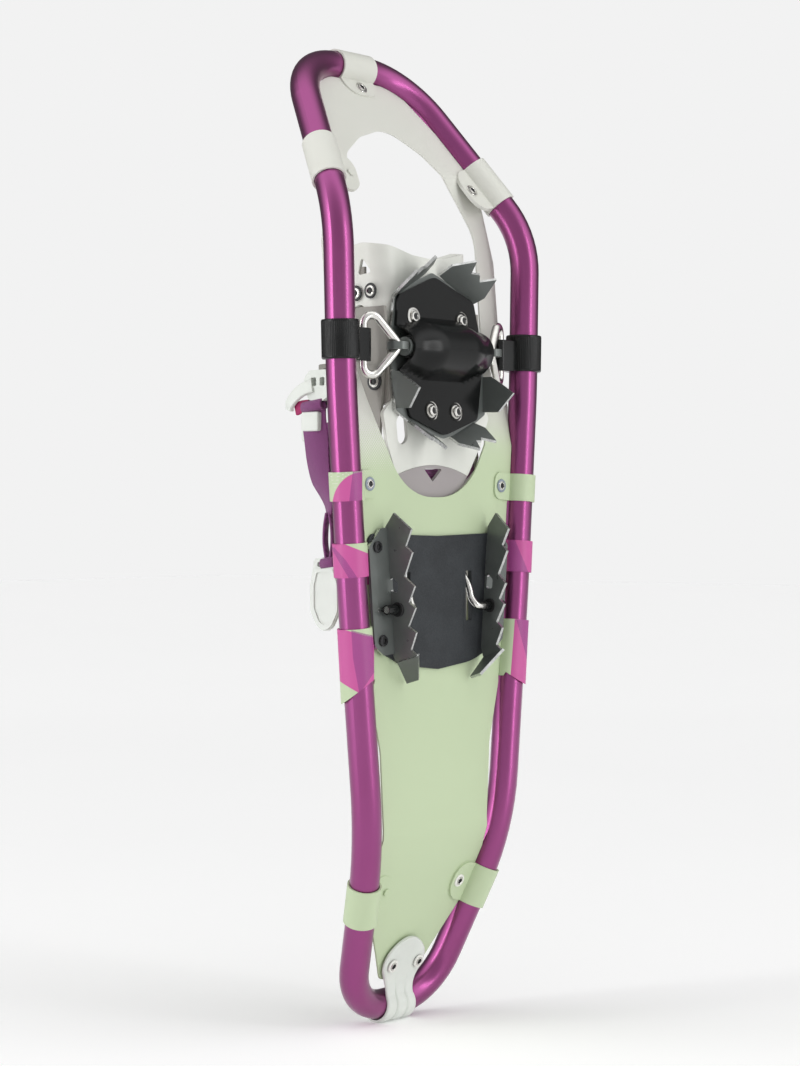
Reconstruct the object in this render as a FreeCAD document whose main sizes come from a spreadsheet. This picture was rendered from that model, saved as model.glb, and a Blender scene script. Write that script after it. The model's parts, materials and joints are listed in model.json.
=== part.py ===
"""A single snowshoe: tubular frame, sheet deck, pivoting crampon binding, traction rails and heel lifter.

Millimetres. The snowshoe stands on its tail: +Z runs from the tail to the toe, +Y is the side the boot
stands on, and the spikes point to -Y. The sub-parts are drawn about the middle plane of the frame tube,
and every sub-part is then moved back by the tail's rise, so that the origin is the tail's lowest point.
"""
import FreeCAD, Part
import math
import os
from FreeCAD import Placement, Rotation, Vector

DIMENSIONS = {
    # frame tube: centreline bend points, and the radius of each bend
    "tube_diameter": 19.05,
    "tube_wall": 1.2,
    "toe_half": 52.5,
    "toe_rise": 74.5,
    "toe_level": 626.5,
    "toe_bend": 52.0,
    "shoulder_half": 94.5,
    "shoulder_level": 517.0,
    "shoulder_bend": 70.0,
    "taper_half": 91.7,
    "taper_level": 412.0,
    "waist_half": 82.0,
    "waist_level": 281.0,
    "side_bend": 600.0,
    "hip_half": 66.5,
    "hip_level": 122.0,
    "hip_bend": 200.0,
    "tail_half": 39.5,
    "tail_rise": 41.0,
    "tail_level": 9.525,
    "tail_bend": 40.0,
    "sleeve_half": 24.0,
    # deck sheet
    "deck_gauge": 1.2,
    "deck_low": 0.2,
    "tab_gauge": 1.2,
    "wall_rivet_radius": 5.0,
    "wall_shank_radius": 2.5,
    "tube_gap": 0.25,
    "rivet_radius": 4.2,
    "rivet_proud": 1.2,
    "rivet_inset": 6.5,
    # tail clip: how far it stands out from the tube it wraps
    "clip_cover": 2.1,
    # heel panel and rails
    "panel_gauge": 1.8,
    "rail_gauge": 2.0,
    "rail_slant": 5.1,
    "blade_lean": 7.4,
    "rail_fold": 46.6,
    "rail_middle": 270.0,
    "screw_radius": 3.6,
    "screw_proud": 1.6,
    "bush_radius": 4.6,
    # pivot
    "pivot_level": 436.0,
    "pivot_drop": 8.0,
    "binding_tilt": 4.8,
    "axle_radius": 6.0,
    "axle_half": 41.5,
    "eye_centre": 47.3,
    "eye_radius": 6.9,
    "eye_hole": 4.4,
    "eye_gauge": 5.0,
    "bush_wall": 1.6,
    "bush_length": 9.0,
    "running_gap": 0.06,
    "ring_wire": 4.76,
    "ring_base": 69.0,
    "ring_half": 28.4,
    "ring_tip": 1.4,
    "collar_radius": 12.0,
    "collar_height": 24.5,
    "collar_level": 438.0,
    "lug_half": 10.5,
    # binding
    "plate_gauge": 2.0,
    "plate_offset": 5.0,
    "bulge_radius": 15.5,
    "bed_gauge": 3.0,
    "wall_half": 45.0,
    "wall_gauge": 2.5,
    "strap_gauge": 2.2,
    "webbing_gauge": 1.5,
    "washer_radius": 6.0,
    "strap_pin": 3.0,
    "hinge_pin": 1.5,
    "heel_band_gap": 0.3,
    "heel_band_low": 2.5,
    "heel_band_width": 20.0,
    "heel_band_end": 262.0,
    "heel_band_rise": 4.3,
    # heel lifter
    "lifter_wire": 4.5,
    "lifter_half": 31.0,
    "lifter_pivot": 8.0,
    "lifter_level": 270.0,
    "lifter_reach": 50.0,
}

doc = FreeCAD.newDocument("snowshoe")
sheet = doc.addObject("Spreadsheet::Sheet", "Dims")
for row, (alias, number) in enumerate(DIMENSIONS.items(), start=1):
    sheet.set(f"A{row}", alias)
    sheet.set(f"B{row}", str(number))
    sheet.setAlias(f"B{row}", alias)
doc.recompute()

SIDES = {"left": -1, "right": 1}
X_AXIS, Y_AXIS, Z_AXIS = Vector(1, 0, 0), Vector(0, 1, 0), Vector(0, 0, 1)


def dim(alias):
    return float(sheet.get(alias))


# ---------------------------------------------------------------- helpers

finished = []


def finish(thing, label):
    """Name a sub-part and move it from the tube's middle plane to the tail's contact point."""
    thing.Label = label
    home = thing.Placement
    to_contact = Placement(Vector(0, -dim("tail_rise"), dim("clip_cover")), Rotation())
    thing.Placement = to_contact.multiply(home)
    finished.append(thing)
    return thing


def rounded_path(points, radii):
    """Straight runs joined by tangent arcs: one radius for each inner point."""
    edges = []
    start = points[0]
    for corner, before, after, radius in zip(points[1:-1], points, points[2:], radii):
        back = (before - corner).normalize()
        ahead = (after - corner).normalize()
        half_turn = (math.pi - back.getAngle(ahead)) / 2
        reach = radius * math.tan(half_turn)
        bisector = (back + ahead).normalize()
        middle = corner + bisector * (radius / math.cos(half_turn) - radius)
        first = corner + back * reach
        last = corner + ahead * reach
        if (first - start).Length > 1e-6:
            edges.append(Part.LineSegment(start, first).toShape())
        edges.append(Part.Arc(first, middle, last).toShape())
        start = last
    if (points[-1] - start).Length > 1e-6:
        edges.append(Part.LineSegment(start, points[-1]).toShape())
    return Part.Wire(edges)


def shape_object(name, shape):
    thing = doc.addObject("Part::Feature", name)
    thing.Shape = shape
    return thing


def swept(name, path, radius_rule):
    """A round bar along a wire, its radius bound to the sheet."""
    spine = shape_object(name + "_path", path)
    ring = doc.addObject("Part::Circle", name + "_section")
    ring.setExpression("Radius", radius_rule)
    begin = path.OrderedEdges[0]
    tangent = begin.tangentAt(begin.FirstParameter)
    ring.Placement = Placement(begin.valueAt(begin.FirstParameter), Rotation(Z_AXIS, tangent))
    bar = doc.addObject("Part::Sweep", name)
    bar.Sections = [ring]
    bar.Spine = (spine, [f"Edge{i + 1}" for i in range(len(path.Edges))])
    bar.Solid = True
    bar.Frenet = False
    bar.Transition = "Right corner"
    return bar


def boolean(kind, name, base, tool):
    thing = doc.addObject("Part::" + kind, name)
    thing.Base = base
    thing.Tool = tool
    return thing


def cut(name, base, tool):
    return boolean("Cut", name, base, tool)


def common(name, base, tool):
    return boolean("Common", name, base, tool)


def fused(name, pieces):
    if len(pieces) == 1:
        return pieces[0]
    thing = doc.addObject("Part::MultiFuse", name)
    thing.Shapes = pieces
    return thing


def group(name, pieces):
    thing = doc.addObject("Part::Compound", name)
    thing.Links = pieces
    return thing


def box(name, low, high):
    thing = doc.addObject("Part::Box", name)
    thing.Length, thing.Width, thing.Height = (high[i] - low[i] for i in range(3))
    thing.Placement = Placement(Vector(*low), Rotation())
    return thing


def cylinder(name, start, direction, length, radius_rule):
    thing = doc.addObject("Part::Cylinder", name)
    thing.setExpression("Radius", radius_rule)
    thing.Height = length
    thing.Placement = Placement(start, Rotation(Z_AXIS, direction))
    return thing


def body_plane(body, role):
    return next(plane for plane in body.Origin.OriginFeatures if plane.Role == role)


def add_outline(sketch, outline):
    """Draw a closed outline: (u, v) corners, each with an optional corner radius."""
    corners = [Vector(u, v, 0) for u, v, *_ in outline]
    radii = [entry[2] if len(entry) > 2 else 0 for entry in outline]
    count = len(corners)
    starts, ends, arcs = [], [], []
    for i, corner in enumerate(corners):
        back = (corners[i - 1] - corner).normalize()
        ahead = (corners[(i + 1) % count] - corner).normalize()
        radius = radii[i]
        if radius == 0:
            starts.append(corner)
            ends.append(corner)
            arcs.append(None)
            continue
        half_turn = (math.pi - back.getAngle(ahead)) / 2
        reach = radius * math.tan(half_turn)
        middle = corner + (back + ahead).normalize() * (radius / math.cos(half_turn) - radius)
        starts.append(corner + back * reach)
        ends.append(corner + ahead * reach)
        arcs.append(Part.Arc(starts[-1], middle, ends[-1]))
    for i in range(count):
        if arcs[i]:
            sketch.addGeometry(arcs[i], False)
        if (starts[(i + 1) % count] - ends[i]).Length > 1e-6:
            sketch.addGeometry(Part.LineSegment(ends[i], starts[(i + 1) % count]), False)


def plate(name, outline, thickness_rule, placement=None, holes=(), plane="XY_Plane", symmetric=False):
    """A flat piece: an outline sketch padded by a thickness from the sheet; holes are (u, v, radius)."""
    body = doc.addObject("PartDesign::Body", name)
    sketch = body.newObject("Sketcher::SketchObject", name + "_sketch")
    sketch.AttachmentSupport = (body_plane(body, plane), [""])
    sketch.MapMode = "FlatFace"
    add_outline(sketch, outline)
    for u, v, radius in holes:
        sketch.addGeometry(Part.Circle(Vector(u, v, 0), Z_AXIS, radius), False)
    pad = body.newObject("PartDesign::Pad", name + "_pad")
    pad.Profile = sketch
    pad.setExpression("Length", thickness_rule)
    pad.Midplane = symmetric
    body.Tip = pad
    if placement:
        body.Placement = placement
    return body


def full_outline(points):
    """Mirror a right-hand outline whose first and last points lie on the middle line."""
    left = [(-u, v, *rest) for u, v, *rest in reversed(points[1:-1])]
    return list(points) + left


# axes for pieces that lie across the snowshoe: sketch u along X and v along Z, padded towards the boot
FACING_BOOT = Rotation(X_AXIS, Vector(0, 0, 1), Vector(0, -1, 0), "XYZ")


def in_deck_plane(level_y):
    """Sketch (u, v) is (X, Z); the pad grows from level_y towards -Y."""
    return Placement(Vector(0, level_y, 0), FACING_BOOT)


# ---------------------------------------------------------------- frame tube

half_route = [
    Vector(0, dim("tail_rise"), dim("tail_level")),
    Vector(dim("tail_half"), dim("tail_rise"), dim("tail_level")),
    Vector(dim("hip_half"), 0, dim("hip_level")),
    Vector(dim("waist_half"), 0, dim("waist_level")),
    Vector(dim("taper_half"), 0, dim("taper_level")),
    Vector(dim("shoulder_half"), 0, dim("shoulder_level")),
    Vector(dim("toe_half"), dim("toe_rise"), dim("toe_level")),
    Vector(0, dim("toe_rise"), dim("toe_level")),
]
half_bends = [dim(f"{name}_bend") for name in ("tail", "hip", "side", "side", "shoulder", "toe")]
half_path = rounded_path(half_route, half_bends)


def mirror_union(name, half):
    other = doc.addObject("Part::Mirroring", name + "_mirror")
    other.Source = half
    other.Base = Vector(0, 0, 0)
    other.Normal = X_AXIS
    return fused(name, [half, other])


outer_half = swept("tube_outer", half_path, "Dims.tube_diameter / 2")
bore_half = swept("tube_bore", half_path, "Dims.tube_diameter / 2 - Dims.tube_wall")
half_tube = cut("tube_half", outer_half, bore_half)
finish(mirror_union("tube", half_tube), "frame_tube")

plug_half = swept("plug", half_path, "Dims.tube_diameter / 2 - Dims.tube_wall - 0.1")
plug_span = box("plug_span", (0, 20, -5), (dim("sleeve_half"), 60, 40))
finish(mirror_union("plug_whole", common("plug_short", plug_half, plug_span)), "tail_joint_sleeve")


room_half = swept("tube_room", half_path, "Dims.tube_diameter / 2 + Dims.tube_gap")
tube_room = mirror_union("tube_room_whole", room_half)


def tube_point(level):
    """Centre and direction of the right-hand tube where its height is level."""
    best = None
    for edge in half_path.OrderedEdges:
        low, high = edge.FirstParameter, edge.LastParameter
        for i in range(25):
            at = low + (high - low) * i / 24
            point = edge.valueAt(at)
            miss = abs(point.z - level)
            if point.x > 1 and (best is None or miss < best[0]):
                best = (miss, point, edge.tangentAt(at))
    direction = best[2] if best[2].z > 0 else best[2] * -1
    return best[1], direction


# ---------------------------------------------------------------- deck

toe_slope = dim("toe_rise") / (dim("toe_level") - dim("shoulder_level"))
tail_slope = dim("tail_rise") / (dim("hip_level") - dim("tail_level"))
strip_high = (26.0, 555.0)
toe_tip_level = 634.0
deck_side = [
    (dim("tail_rise") - (24.0 - dim("tail_level")) * tail_slope, 24.0),
    (dim("deck_low"), 124.0),
    (dim("deck_low"), 376.0),
    (13.6, 422.0),
    (16.0, 452.0),
    strip_high,
    (strip_high[0] + (toe_tip_level - strip_high[1]) * toe_slope, toe_tip_level),
]


def deck_outline():
    """Right-hand edge of the deck from tail to toe, seen from the front."""
    return [
        (0, 27.0),
        (17.0, 27.0, 6),
        (28.0, 46.0, 10),
        (44.0, 72.0, 4),
        (54.0, 96.0, 6),
        (52.0, 130.0, 30),
        (55.0, 180.0, 25),
        (64.5, 218.0, 5),
        (66.0, 262.0),
        (70.5, 290.0),
        (74.0, 337.0, 4),
        (80.0, 356.0, 10),
        (85.0, 380.0, 10),
        (86.0, 500.0, 10),
        (78.0, 534.0, 6),
        (66.0, 566.0, 4),
        (58.0, 586.0, 16),
        (38.0, 617.0, 20),
        (0, 618.0),
    ]


def hole_outline():
    """The opening that the toe and the front spikes turn through, wider to the left at the toe."""
    heel_edge = [
        (0, 341.0),
        (31.0, 341.0, 46),
        (52.0, 378.0, 30),
        (58.5, 402.0, 20),
        (66.0, 440.0, 40),
    ]
    toe_edge = [
        (68.0, 516.0, 30),
        (28.0, 568.0, 20),
        (3.0, 584.0, 30),
        (-30.0, 574.0, 30),
        (-54.0, 560.0, 16),
        (-68.0, 530.0, 30),
    ]
    return heel_edge + toe_edge + [(-u, v, *rest) for u, v, *rest in reversed(heel_edge[1:])]


def profile_band(name, profile, thickness, half_width):
    """A sheet of constant thickness bent along a (y, z) profile and padded both ways along X."""
    upper = [(y + thickness, z) for y, z in reversed(profile)]
    return plate(name, [(y, z) for y, z in list(profile) + upper], str(2 * half_width),
                 plane="YZ_Plane", symmetric=True)


deck_band = profile_band("deck_band", deck_side, dim("deck_gauge"), 100.0)
cutter_depth = "160"
cutter_home = in_deck_plane(120.0)
deck_limit = plate("deck_limit", full_outline(deck_outline()), cutter_depth, cutter_home)
deck_opening = plate("deck_opening", hole_outline(), cutter_depth, cutter_home)
slot_low, slot_high, slot_side = 253.0, 293.0, 5.0


def lifter_slots(name):
    slots = []
    for side, sign in SIDES.items():
        middle = sign * dim("lifter_half")
        slots.append(box(f"{name}_{side}", (middle - slot_side, -20, slot_low), (middle + slot_side, 20, slot_high)))
    return fused(name, slots)


deck_sheet = common("deck_sheet", deck_band, deck_limit)
deck_holed = cut("deck_holed", deck_sheet, deck_opening)
deck_slotted = cut("deck_slotted", deck_holed, lifter_slots("deck_slots"))
deck_field = cut("deck_field", deck_slotted, tube_room)


def tab(name, centre, along, width, inward, face, reach, depth, corner_radius, behind):
    """A tab of the deck sheet that wraps the tube, with a tongue that runs inwards beside the deck."""
    radius = "Dims.tube_diameter / 2 + Dims.tube_gap"
    wrap = cylinder(name + "_wrap", centre - along * (width / 2), along, width, radius + " + Dims.tab_gauge")
    hollow = cylinder(name + "_hollow", centre - along * width, along, 2 * width, radius)
    across = face.cross(inward)
    corner = centre - across * (width / 2) - face * (dim("deck_low") + dim("deck_gauge") + behind)
    outline = [(0, 0), (reach, 0, corner_radius), (reach, width, corner_radius), (0, width)]
    tongue = plate(name + "_tongue", outline, str(depth), Placement(corner, Rotation(inward, across, face, "XYZ")))
    return cut(name, fused(name + "_solid", [wrap, tongue]), hollow)


def facing_ground(along, inward):
    """The deck's unit normal beside a tab, on the side of the spikes."""
    face = along.cross(inward).normalize()
    return face if face.y < 0 else face * -1


single_layer = dim("deck_gauge")
double_layer = dim("deck_gauge") + dim("tab_gauge")
tight, round_end = 6.0, 12.5
TABS = {
    "tail": (84.0, 27.0, 28.0, double_layer, round_end),
    "rear": (241.0, 38.0, 14.0, single_layer, tight),
    "middle": (301.5, 21.0, 13.0, single_layer, tight),
    "front": (345.5, 18.0, 27.0, double_layer, tight),
    "toe": (551.0, 33.0, 28.0, double_layer, round_end),
}
BOOT_SIDE_TABS = {("tail", -1), ("toe", -1)}
tabs = []
rivet_seats = []


def add_tab(name, centre, along, width, inward, reach, depth, corner_radius, on_boot_side=False):
    """A tab and its rivet; the tongue lies on the ground side of the deck unless it is folded behind."""
    face = facing_ground(along, inward)
    behind = dim("tab_gauge") if on_boot_side else 0
    tabs.append(tab(name, centre, along, width, inward, face, reach, depth, corner_radius, behind))
    if depth > single_layer:
        boot_side_surface = face * -(dim("deck_low") + dim("deck_gauge") + dim("tab_gauge"))
        ground_side_surface = face * (dim("tab_gauge") - dim("deck_low"))
        surface = boot_side_surface if on_boot_side else ground_side_surface
        outward = face * -1 if on_boot_side else face
        rivet_seats.append((centre + inward * (reach - dim("rivet_inset")) + surface, outward))


for tab_name, (level, width, reach, depth, corner_radius) in TABS.items():
    centre, along = tube_point(level)
    inward = (along * along.x - X_AXIS).normalize()
    for side, sign in SIDES.items():
        where, heading, inside = (Vector(v.x * sign, v.y, v.z) for v in (centre, along, inward))
        on_boot_side = (tab_name, sign) in BOOT_SIDE_TABS
        add_tab(f"tab_{tab_name}_{side}", where, heading, width, inside, reach, depth, corner_radius, on_boot_side)
toe_inward = Vector(0, -toe_slope, -1).normalize()
add_tab("tab_toe_middle", half_route[-1], X_AXIS, 32.0, toe_inward, 24.0, double_layer, round_end)
deck_joined = fused("deck_joined", [deck_field] + tabs)


def rivet(name, seat, face, proud, shank_length=3.6):
    """A domed-washer rivet through a stack: a disc on the surface and a short shank behind it."""
    disc = cylinder(name + "_disc", seat, face, proud, "Dims.rivet_radius")
    shank = cylinder(name + "_shank", seat - face * shank_length, face, shank_length + proud / 2,
                     "Dims.rivet_radius / 2")
    return fused(name, [disc, shank])


deck_rivets = [
    rivet(f"deck_rivet_{i}", seat, face, dim("rivet_proud"))
    for i, (seat, face) in enumerate(rivet_seats)
]
finish(group("deck_rivet_set", deck_rivets), "deck_rivets")

# ---------------------------------------------------------------- heel panel, rails, screws

panel_face = dim("deck_low")
panel_outline = [
    (0, 316.0),
    (69.0, 318.0, 6),
    (62.0, 246.0, 6),
    (36.0, 234.0, 60),
    (0, 230.0),
]
panel = plate("panel", full_outline(panel_outline), "Dims.panel_gauge", in_deck_plane(panel_face))
panel_slotted = cut("panel_slotted", panel, lifter_slots("panel_slots"))

rail_face = panel_face - dim("panel_gauge")
blade_outline = [
    (rail_face, 322.0),
    (-8.5, 331.0),
    (-21.0, 320.5),
    (-16.0, 310.0),
    (-20.7, 306.0),
    (-13.8, 290.8),
    (-21.0, 284.6),
    (-16.0, 274.5),
    (-20.7, 271.0),
    (-14.6, 259.3),
    (-20.2, 255.4),
    (-15.5, 244.5),
    (-20.3, 240.6),
    (-4.0, 236.0),
    (rail_face, 242.0),
]
flange_outline = [
    (0, 322.0),
    (8.0, 322.0, 3),
    (20.0, 311.5, 3),
    (20.0, 249.0, 3),
    (12.0, 242.0, 4),
    (0, 242.0),
]
screw_offset = 12.4
screw_levels = (309.5, 250.5)
window = [(-3.6, 292.0, 1.5), (-9.0, 287.0, 1.5), (-9.0, 281.0, 1.5), (-3.6, 281.0, 1.5)]
leg_root = Vector(0, -4.0, 236.0)
leg_shoulder = Vector(0, -20.3, 240.6)
leg_tip = Vector(-10.5, -12.6, 225.0)
leg_overlap = (leg_shoulder - leg_tip).normalize() * 2.0
leg_heel = leg_tip + (leg_root - leg_shoulder) * 0.56


def rail(side, sign):
    """An angle rail drawn for the right side about its fold line, slanted, then mirrored for the left."""
    lean = Placement(Vector(), Rotation(Z_AXIS, -dim("blade_lean")))
    blade = plate(f"{side}_blade", blade_outline, "Dims.rail_gauge", lean, plane="YZ_Plane")
    opening = plate(f"{side}_window", window, "20", plane="YZ_Plane", symmetric=True)
    blade_open = cut(f"{side}_blade_open", blade, opening)
    flange = plate(f"{side}_flange", flange_outline, "Dims.rail_gauge", in_deck_plane(rail_face))
    top_inner, top_outer = leg_root + leg_overlap, leg_shoulder + leg_overlap
    leg_face = Part.Face(Part.makePolygon([top_inner, top_outer, leg_tip, leg_heel, top_inner]))
    outward = (leg_shoulder - leg_root).cross(leg_tip - leg_root).normalize()
    outward = outward if outward.x > 0 else outward * -1
    leg = shape_object(f"{side}_leg", leg_face.extrude(outward * dim("rail_gauge")))
    leg.Placement = lean
    whole = fused(f"{side}_rail_upright", [blade_open, flange, leg])
    middle = Vector(0, 0, dim("rail_middle"))
    slant = Placement(Vector(dim("rail_fold"), 0, 0), Rotation(Y_AXIS, dim("rail_slant")), middle)
    whole.Placement = slant
    bush_start = Vector(dim("rail_fold") - 15, -dim("lifter_pivot"), dim("lifter_level"))
    bush_hole = cylinder(f"{side}_bush_hole", bush_start, X_AXIS, 30, "Dims.bush_radius")
    bored = cut(f"{side}_rail_bored", whole, bush_hole)
    if sign > 0:
        return bored
    other = doc.addObject("Part::Mirroring", f"{side}_rail_mirror")
    other.Source = bored
    other.Normal = X_AXIS
    return other


rail_lean = math.tan(math.radians(dim("rail_slant")))
rail_screws = []
for side, sign in SIDES.items():
    screws = []
    for i, z in enumerate(screw_levels):
        x = sign * (dim("rail_fold") + screw_offset + (z - dim("rail_middle")) * rail_lean)
        seat = Vector(x, rail_face - dim("rail_gauge"), z)
        name = f"rail_screw_{side}_{i}"
        head = cylinder(name + "_head", seat, -Y_AXIS, dim("screw_proud"), "Dims.screw_radius")
        shank = cylinder(name + "_shank", seat, Y_AXIS, 6.5, "Dims.screw_radius / 2")
        nut = cylinder(name + "_nut", Vector(x, dim("deck_low") + dim("deck_gauge"), z), Y_AXIS, 2.0,
                       "Dims.screw_radius")
        screws.append(fused(name, [head, shank, nut]))
    finish(cut(f"{side}_rail_drilled", rail(side, sign), group(f"{side}_rail_drills", screws)), f"{side}_rail")
    rail_screws += screws
finish(cut("panel_drilled", panel_slotted, group("panel_drills", rail_screws)), "heel_panel")
finish(group("rail_screw_set", rail_screws), "rail_screws")

# ---------------------------------------------------------------- tail clip

tail_direction = Vector(0, -tail_slope, 1).normalize()
tail_normal = Vector(0, -1, -tail_slope).normalize()
tail_centre = half_route[0]
clip_outline = [
    (0, 58.0, 6),
    (10.0, 53.0, 4),
    (19.0, 51.0, 4),
    (20.0, 34.0, 8),
    (12.0, 18.0, 8),
    (15.5, 4.0, 3),
    (0, 4.0),
]
clip_outline = [(u, v - 9.525, *rest) for u, v, *rest in clip_outline]
clip_turn = Rotation(X_AXIS, tail_direction, X_AXIS.cross(tail_direction), "XYZ")
clip_home = Placement(tail_centre + tail_normal * 1.2, clip_turn)
clip_face = plate("clip_face", full_outline(clip_outline), "3", clip_home)
clip_wrap = cylinder("clip_wrap", tail_centre - X_AXIS * 15.5, X_AXIS, 31.0,
                     "Dims.tube_diameter / 2 + Dims.clip_cover")
clip_solid = cut("clip_body", fused("clip_solid", [clip_face, clip_wrap]), tube_room)
clip_rivets = []
for side, sign in SIDES.items():
    seat = tail_centre + X_AXIS * (12.8 * sign) + tail_direction * 30.0 + tail_normal * 4.2
    clip_rivets.append(rivet(f"clip_rivet_{side}", seat, tail_normal, dim("rivet_proud"), 6.0))
finish(cut("clip_drilled", clip_solid, group("clip_drills", clip_rivets)), "tail_clip")
finish(group("clip_rivet_set", clip_rivets), "tail_clip_rivets")
deck_drills = group("deck_drills", deck_rivets + rail_screws + clip_rivets)
finish(cut("deck_drilled", deck_joined, deck_drills), "deck")

# ---------------------------------------------------------------- collars, rings, axle

pivot = Vector(0, -dim("pivot_drop"), dim("pivot_level"))
ring_plane_drop = dim("pivot_drop") + 2.0
ring_slope = ring_plane_drop / (dim("ring_base") - dim("eye_centre"))


def ring_point(x, z):
    """A point of the right-hand ring's middle plane, which falls from the collar to the axle's eye."""
    return Vector(x, 2.0 - (dim("ring_base") - x) * ring_slope, dim("pivot_level") + z)


def ring_path(sign):
    """Closed triangle: a base bar beside the tube and two legs that meet in the axle's eye."""
    base, half = dim("ring_base"), dim("ring_half")
    tip_reach = dim("eye_centre") - dim("ring_tip")
    corners = [ring_point(base, 0), ring_point(base, half), ring_point(tip_reach, 0), ring_point(base, -half)]
    route = [Vector(corner.x * sign, corner.y, corner.z) for corner in corners + corners[:1]]
    return rounded_path(route, [6.0, 5.0, 6.0])


for side, sign in SIDES.items():
    centre, along = tube_point(dim("collar_level"))
    where = Vector(centre.x * sign, centre.y, centre.z)
    heading = Vector(along.x * sign, along.y, along.z)
    height = dim("collar_height")
    start = where - heading * (height / 2)
    band = cylinder(f"{side}_band", start, heading, height, "Dims.collar_radius")
    lug_x = sorted((sign * (dim("ring_base") - 5.2), sign * (dim("taper_half") - 4)))
    lug_low, lug_high = dim("pivot_level") - dim("lug_half"), dim("pivot_level") + dim("lug_half")
    lug = box(f"{side}_lug", (lug_x[0], -3.2, lug_low), (lug_x[1], 7.2, lug_high))
    bar_hole = cylinder(f"{side}_bar_hole", Vector(sign * dim("ring_base"), 2.0, dim("pivot_level") - 30), Z_AXIS,
                        60, "Dims.ring_wire / 2 + 0.08")
    bore = cylinder(f"{side}_bore", where - heading * height, heading, 2 * height,
                    "Dims.tube_diameter / 2 + 0.05")
    solid = fused(f"{side}_collar_solid", [band, lug])
    finish(cut(f"{side}_collar_cut", solid, fused(f"{side}_collar_holes", [bar_hole, bore])), f"{side}_collar")

for side, sign in SIDES.items():
    finish(swept(f"{side}_ring_wire", ring_path(sign), "Dims.ring_wire / 2"), f"{side}_ring")

axle_rod = cylinder("axle_rod", pivot - X_AXIS * dim("axle_half"), X_AXIS, 2 * dim("axle_half"),
                    "Dims.axle_radius")
axle_parts = [axle_rod]
eye_holes = []
for side, sign in SIDES.items():
    centre = pivot + X_AXIS * (sign * dim("eye_centre"))
    half = dim("eye_gauge") / 2
    axle_parts.append(cylinder(f"{side}_eye", centre - Z_AXIS * half, Z_AXIS, 2 * half, "Dims.eye_radius"))
    eye_holes.append(cylinder(f"{side}_eye_hole", centre - Z_AXIS * 20, Z_AXIS, 40, "Dims.eye_hole"))
finish(cut("axle", fused("axle_solid", axle_parts), fused("axle_eyes", eye_holes)), "pivot_axle")

# ---------------------------------------------------------------- toe plate and crampon

tilt = math.radians(dim("binding_tilt"))
toeward = Vector(0, math.sin(tilt), math.cos(tilt))
bootward = Vector(0, math.cos(tilt), -math.sin(tilt))
BINDING_TURN = Rotation(X_AXIS, toeward, bootward * -1, "XYZ")


def on_binding(offset):
    """Sketch (u, v) is (across, toeward) about the pivot; the pad grows from offset towards the ground."""
    return Placement(pivot + bootward * offset, BINDING_TURN)


def binding_point(across, up, offset):
    return pivot + X_AXIS * across + toeward * up + bootward * offset


plate_outline = [
    (0, 48.0, 10),
    (38.0, 33.5, 5),
    (41.5, 14.0, 4),
    (39.8, 6.0, 2),
    (39.8, -6.0, 2),
    (41.5, -14.0, 4),
    (34.0, -44.0, 5),
    (0, -55.0, 10),
]


plate_back = dim("plate_offset") + dim("plate_gauge")
flat_plate = plate("plate_flat", full_outline(plate_outline), "Dims.plate_gauge", on_binding(plate_back))


def barrel(name, radius, half_length, end_radius):
    """Solid of revolution about the pivot line: a cylinder whose ends taper to a smaller radius."""
    body = doc.addObject("PartDesign::Body", name)
    sketch = body.newObject("Sketcher::SketchObject", name + "_sketch")
    sketch.AttachmentSupport = (body_plane(body, "XY_Plane"), [""])
    sketch.MapMode = "FlatFace"
    add_outline(sketch, [
        (-half_length, 0),
        (-half_length, end_radius),
        (-half_length / 2, radius, 14),
        (half_length / 2, radius, 14),
        (half_length, end_radius),
        (half_length, 0),
    ])
    turned = body.newObject("PartDesign::Revolution", name + "_turned")
    turned.Profile = sketch
    turned.ReferenceAxis = (sketch, ["H_Axis"])
    turned.Angle = 360
    body.Tip = turned
    body.Placement = Placement(pivot, BINDING_TURN)
    return body


barrel_half = 40.0
bulge = barrel("bulge_outer", dim("bulge_radius"), barrel_half, 10.0)
hollow = barrel("bulge_hollow", dim("bulge_radius") - dim("plate_gauge"), barrel_half + 0.01, 8.0)
ceiling = box("bulge_ceiling", (-60, plate_back, -40), (60, plate_back + 40, 40))
ceiling.Placement = Placement(pivot, Rotation(X_AXIS, bootward, toeward, "XYZ")).multiply(ceiling.Placement)
bulge_half = cut("bulge_half", bulge, ceiling)
pressed = fused("plate_pressed", [flat_plate, bulge_half])
plate_open = cut("toe_plate_open", pressed, hollow)

bush_outer = "Dims.axle_radius + Dims.running_gap + Dims.bush_wall"
bush_flat = 6.9
for side, sign in SIDES.items():
    start = pivot + X_AXIS * (sign * 31.0 - dim("bush_length") / 2)
    outer = cylinder(f"{side}_bush_outer", start, X_AXIS, dim("bush_length"), bush_outer)
    inner = cylinder(f"{side}_bush_inner", start - X_AXIS, X_AXIS, dim("bush_length") + 2,
                     "Dims.axle_radius + Dims.running_gap")
    flat = box(f"{side}_bush_flat", (0, 0, 0), (20, 10, 30))
    flat_corner = start - X_AXIS * 5 + bootward * bush_flat - toeward * 15
    flat.Placement = Placement(flat_corner, Rotation(X_AXIS, bootward, toeward, "XYZ"))
    finish(cut(f"{side}_bush", cut(f"{side}_bush_trim", outer, flat), inner), f"{side}_bushing")

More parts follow.
